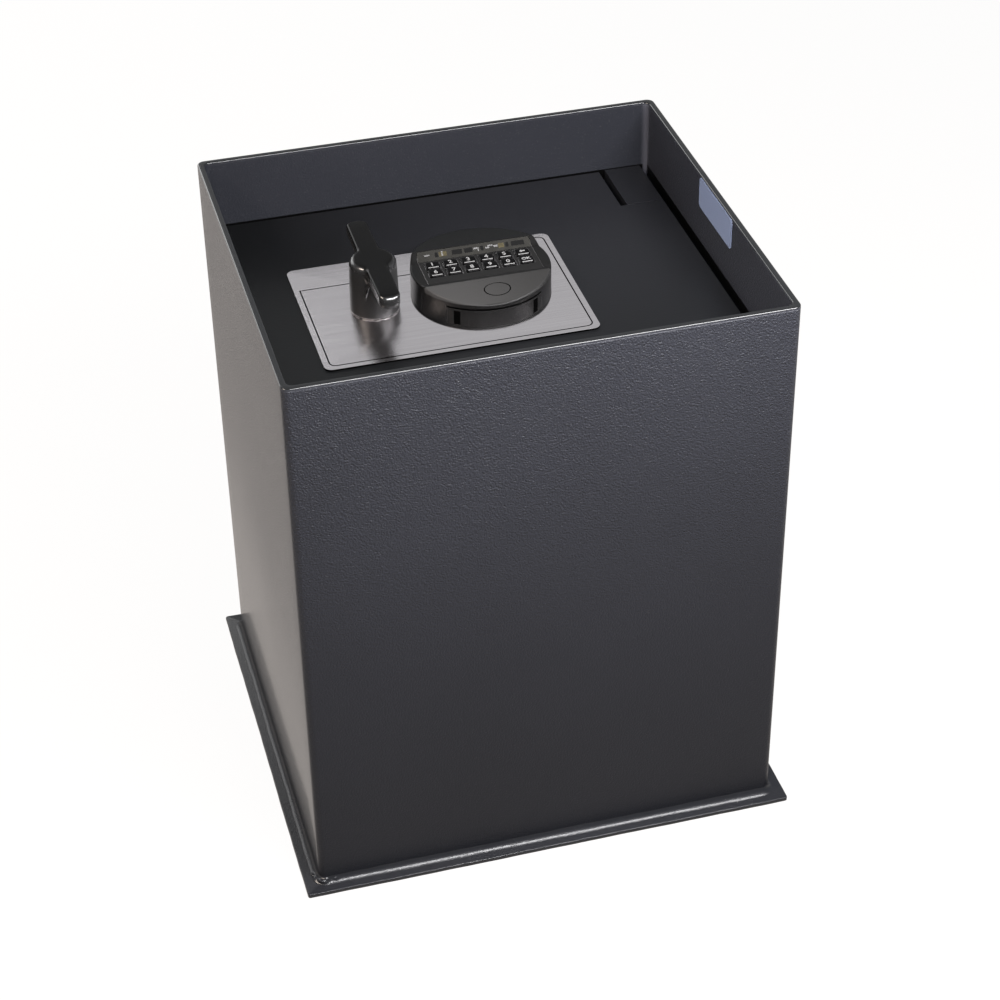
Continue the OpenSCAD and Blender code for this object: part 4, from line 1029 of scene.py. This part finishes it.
piece(body_shell(), "safe_body", "powder_coat", "body_shell")
piece(base_plate(), "safe_body", "foot_coat", "base_plate")
piece(base_weld(), "safe_body", "foot_coat", "base_weld")
piece(t_handle(), "handle", "handle_black", "t_handle")
piece(keypad_housing(), "door", "keypad_plastic", "keypad_housing")
piece(keypad_foot(), "door", "keypad_plastic")
piece(oval_line(), "door", "black_inlay_and_painted_shade")
piece(seam_painted_shade(), "door", "black_inlay_and_painted_shade")
for side in SLOT_X:
    piece(drawer_slot(side), "drawer", "black_inlay_and_painted_shade")
piece(border_line(), "door", "black_inlay_and_painted_shade")
piece(face_sheet(), "door", "brushed_plate", "face_plate")
for count, field in enumerate(DARK_FIELDS):
    on_window("display_dark_%d" % count, *field, *FIELD, "gasket_black")
for count, field in enumerate(LIGHT_FIELDS):
    on_window("display_light_%d" % count, *field, *FIELD, "amber_lens")
for count, mark in enumerate(MARKS):
    on_window("display_mark_%d" % count, *mark, "display_print", 0.05)
# Nodes whose form stays the CAD's, with the width of their rounded edges
SOFT_EDGES = {
    "door_plate": 0.7, "hinge_block_rear": 0.9, "hinge_block_front": 0.9, "ledge_left": 0.5,
    "ledge_front": 0.5, "ledge_back": 0.5, "hinge_ledge": 0.5, "key_frame": 0.25,
    "battery_drawer": 0.3, "boltwork_cover": 0.5, "bolt_carrier": 0.4, "bolt_guide": 0.4,
    "hard_plate": 0.4, "lock_case": 0.6, "lock_lid": 0.3, "cover_screws": 0.4,
    "lock_screws": 0.4, "bolt_screws": 0.5, "crank_disc": 0.4, "standoffs": 0.3,
    "guide_studs": 0.4,
}
for node, width in SOFT_EDGES.items():
    softened(node, width)


# Keys
def key_cap(node):
    """A key: in plan the superellipse |x/a|^5 + |y/b|^5 = 1, from a low crown down to its stem.

    The crown falls by 0.12 times the square of the share of its half width, and a round edge
    leads over to the skirt. Under the cap the rows turn in to the stem and go down to its end.
    """
    low, high = span(node)
    middle = (low + high) / 2
    half = (high - low)[:2] / 2
    circle = unit(arc(0, 360, 65)[:-1])
    plan = np.sign(circle) * np.abs(circle) ** (2 / 5.0)
    edge, crown = 0.7, 0.12
    edge_share = edge / half[1]
    rows = [(s, high[2] - crown * s ** 2) for s in np.linspace(0, 1 - edge_share, 6)]
    rows += [
        (1 - edge_share * (1 - math.sin(t)), high[2] - crown - edge * (1 - math.cos(t)))
        for t in arc(10, 90, 6)
    ]
    cap_low = high[2] - 1.5
    rows += [(1, cap_low), (0.6, cap_low), (0.6, low[2]), (0, low[2])]
    scale = np.array([r[0] for r in rows])[:, None, None]
    flat = plan[None] * half * scale + middle[:2]
    height = np.broadcast_to(np.array([r[1] for r in rows])[:, None, None], flat.shape[:2] + (1,))
    return surface(node + "_cap", np.concatenate([flat, height], -1), (False, True), sharp=50)


KEY_TEXT = {"ok": "OK"}
LEGEND_SIZE = 5.0
WORD_SCALE = 0.78
LEGEND_RISE = 0.02
LEGEND_BACK = 0.9
UNDERLINE_FRONT = 2.75
UNDERLINE = [(-3.3, -0.42), (3.3, -0.42), (3.3, 0.42), (-3.3, 0.42)]
ARROW = [(-1.9, 0), (-0.2, 1.5), (-0.2, 0.6), (1.9, 0.6), (1.9, -0.6), (-0.2, -0.6), (-0.2, -1.5)]


def legend(name, text, place):
    """White lettering as thin raised print, its middle at a place."""
    curve = bpy.data.curves.new(name, "FONT")
    curve.body = text
    curve.size = (LEGEND_SIZE if len(text) == 1 else LEGEND_SIZE * WORD_SCALE) * MM
    curve.align_x, curve.align_y = "CENTER", "CENTER"
    curve.extrude = 0.03 * MM
    curve.offset = 0.10 * MM
    curve.resolution_u = 3
    holder = bpy.data.objects.new(name, curve)
    mesh = bpy.data.meshes.new_from_object(holder)
    mesh.name = name
    bpy.data.objects.remove(holder)
    bpy.data.curves.remove(curve)
    points = np.empty(len(mesh.vertices) * 3)
    mesh.vertices.foreach_get("co", points)
    points = points.reshape(-1, 3) + place * MM
    mesh.vertices.foreach_set("co", points.ravel())
    return tidy(mesh, 30)


def key(node):
    """A key's cap with its legend, which is an arrow on one key, and the underline before it."""
    body, sign = BODIES[node], node.removeprefix("key_")
    piece(key_cap(node), body, "key_black", node)
    low, high = span(node)
    middle, top = (low + high) / 2, high[2]
    place = np.array([middle[0], middle[1] + LEGEND_BACK, top + LEGEND_RISE])
    if sign == "up":
        shape = slab(node + "_print", ARROW, place[:2], top - 0.15, top + 0.04)
    else:
        shape = legend(node + "_print", KEY_TEXT.get(sign, sign), place)
    piece(shape, body, "legend_white")
    place = middle[:2] - [0, UNDERLINE_FRONT]
    piece(slab(node + "_bar", UNDERLINE, place, top - 0.3, top + 0.01), body, "legend_white")


for node in frame["nodes"]:
    if node.startswith("key_") and BODIES[node] != "door":
        key(node)


# Studio
def stage_plane(name, size, material):
    """A square of floor at the height that the safe stands on."""
    mesh = bpy.data.meshes.new(name)
    corners = [(-size, -size, 0), (size, -size, 0), (size, size, 0), (-size, size, 0)]
    mesh.from_pydata(corners, [], [(0, 1, 2, 3)])
    mesh.materials.append(material)
    obj = bpy.data.objects.new(name, mesh)
    bpy.context.scene.collection.objects.link(obj)


def floor_material():
    """Matt pale floor: the camera sees it nearly white, and reflections a warm shade of that."""
    paint = Paint("floor", Roughness=0.9, Specular_IOR_Level=0.0)
    paint.shader.inputs["Base Color"].default_value = (0.37, 0.345, 0.32, 1)
    path = paint.node("ShaderNodeLightPath").socket.node
    seen, glossy, through = (
        Value(paint, path.outputs[ray])
        for ray in ("Is Camera Ray", "Is Glossy Ray", "Is Transmission Ray")
    )
    shader = Value(paint, paint.shader.outputs[0])
    for share, colour, strength in (
        ((glossy + through) * 0.85, (1.0, 0.93, 0.88, 1), 1.0),
        (seen * 0.86, grey(1.0), 1.08),
    ):
        glow = paint.node("ShaderNodeEmission", inputs={"Color": colour, "Strength": strength})
        shader = paint.node("ShaderNodeMixShader", inputs={0: share, 1: shader, 2: glow})
    paint.tree.links.new(shader.socket, paint.output.inputs[0])
    return paint.material


def softbox(name, place, aim, size, power, colour=(1, 1, 1)):
    """A rectangular lamp at a place, turned to a point and unseen itself. Metres and watts."""
    light = bpy.data.lights.new(name, "AREA")
    light.shape = "RECTANGLE"
    light.size, light.size_y = size
    light.energy = power
    light.color = colour
    obj = bpy.data.objects.new(name, light)
    bpy.context.scene.collection.objects.link(obj)
    obj.location = place
    obj.rotation_euler = (Vector(aim) - Vector(place)).to_track_quat("-Z", "Y").to_euler()
    obj.visible_camera = False


def room(strength):
    """An even pale room round the safe."""
    scene_world = bpy.data.worlds.new("room")
    bpy.context.scene.world = scene_world
    scene_world.use_nodes = True
    back = scene_world.node_tree.nodes["Background"]
    back.inputs["Color"].default_value = (0.96, 0.975, 1.0, 1)
    back.inputs["Strength"].default_value = strength


stage_plane("floor", 8, floor_material())
softbox("left_light", (-1.75, -0.35, 2.0), (0, 0, 0.36), (0.9, 0.45), 60, (1, 0.87, 0.76))
softbox("top_light", (0.16, -0.36, 0.72), (0.05, -0.12, 0.25), (0.62, 0.12), 14.5, (0.99, 0.98, 1))
softbox("back_light", (-0.80, 1.63, 1.02), (0.05, 0, 0.30), (1.4, 0.8), 12)
room(0.45)
bpy.context.scene.view_settings.view_transform = "Standard"

# The plate shows no mirror image of the keypad, apart from its foot
KEYPAD_PIECES = ("keypad_", "key_", "display_", "indicator_", "battery_", "drawer_", "seam_")
for obj in bpy.context.scene.objects:
    if obj.name.startswith(KEYPAD_PIECES) and obj.name != "keypad_foot":
        obj.visible_glossy = False
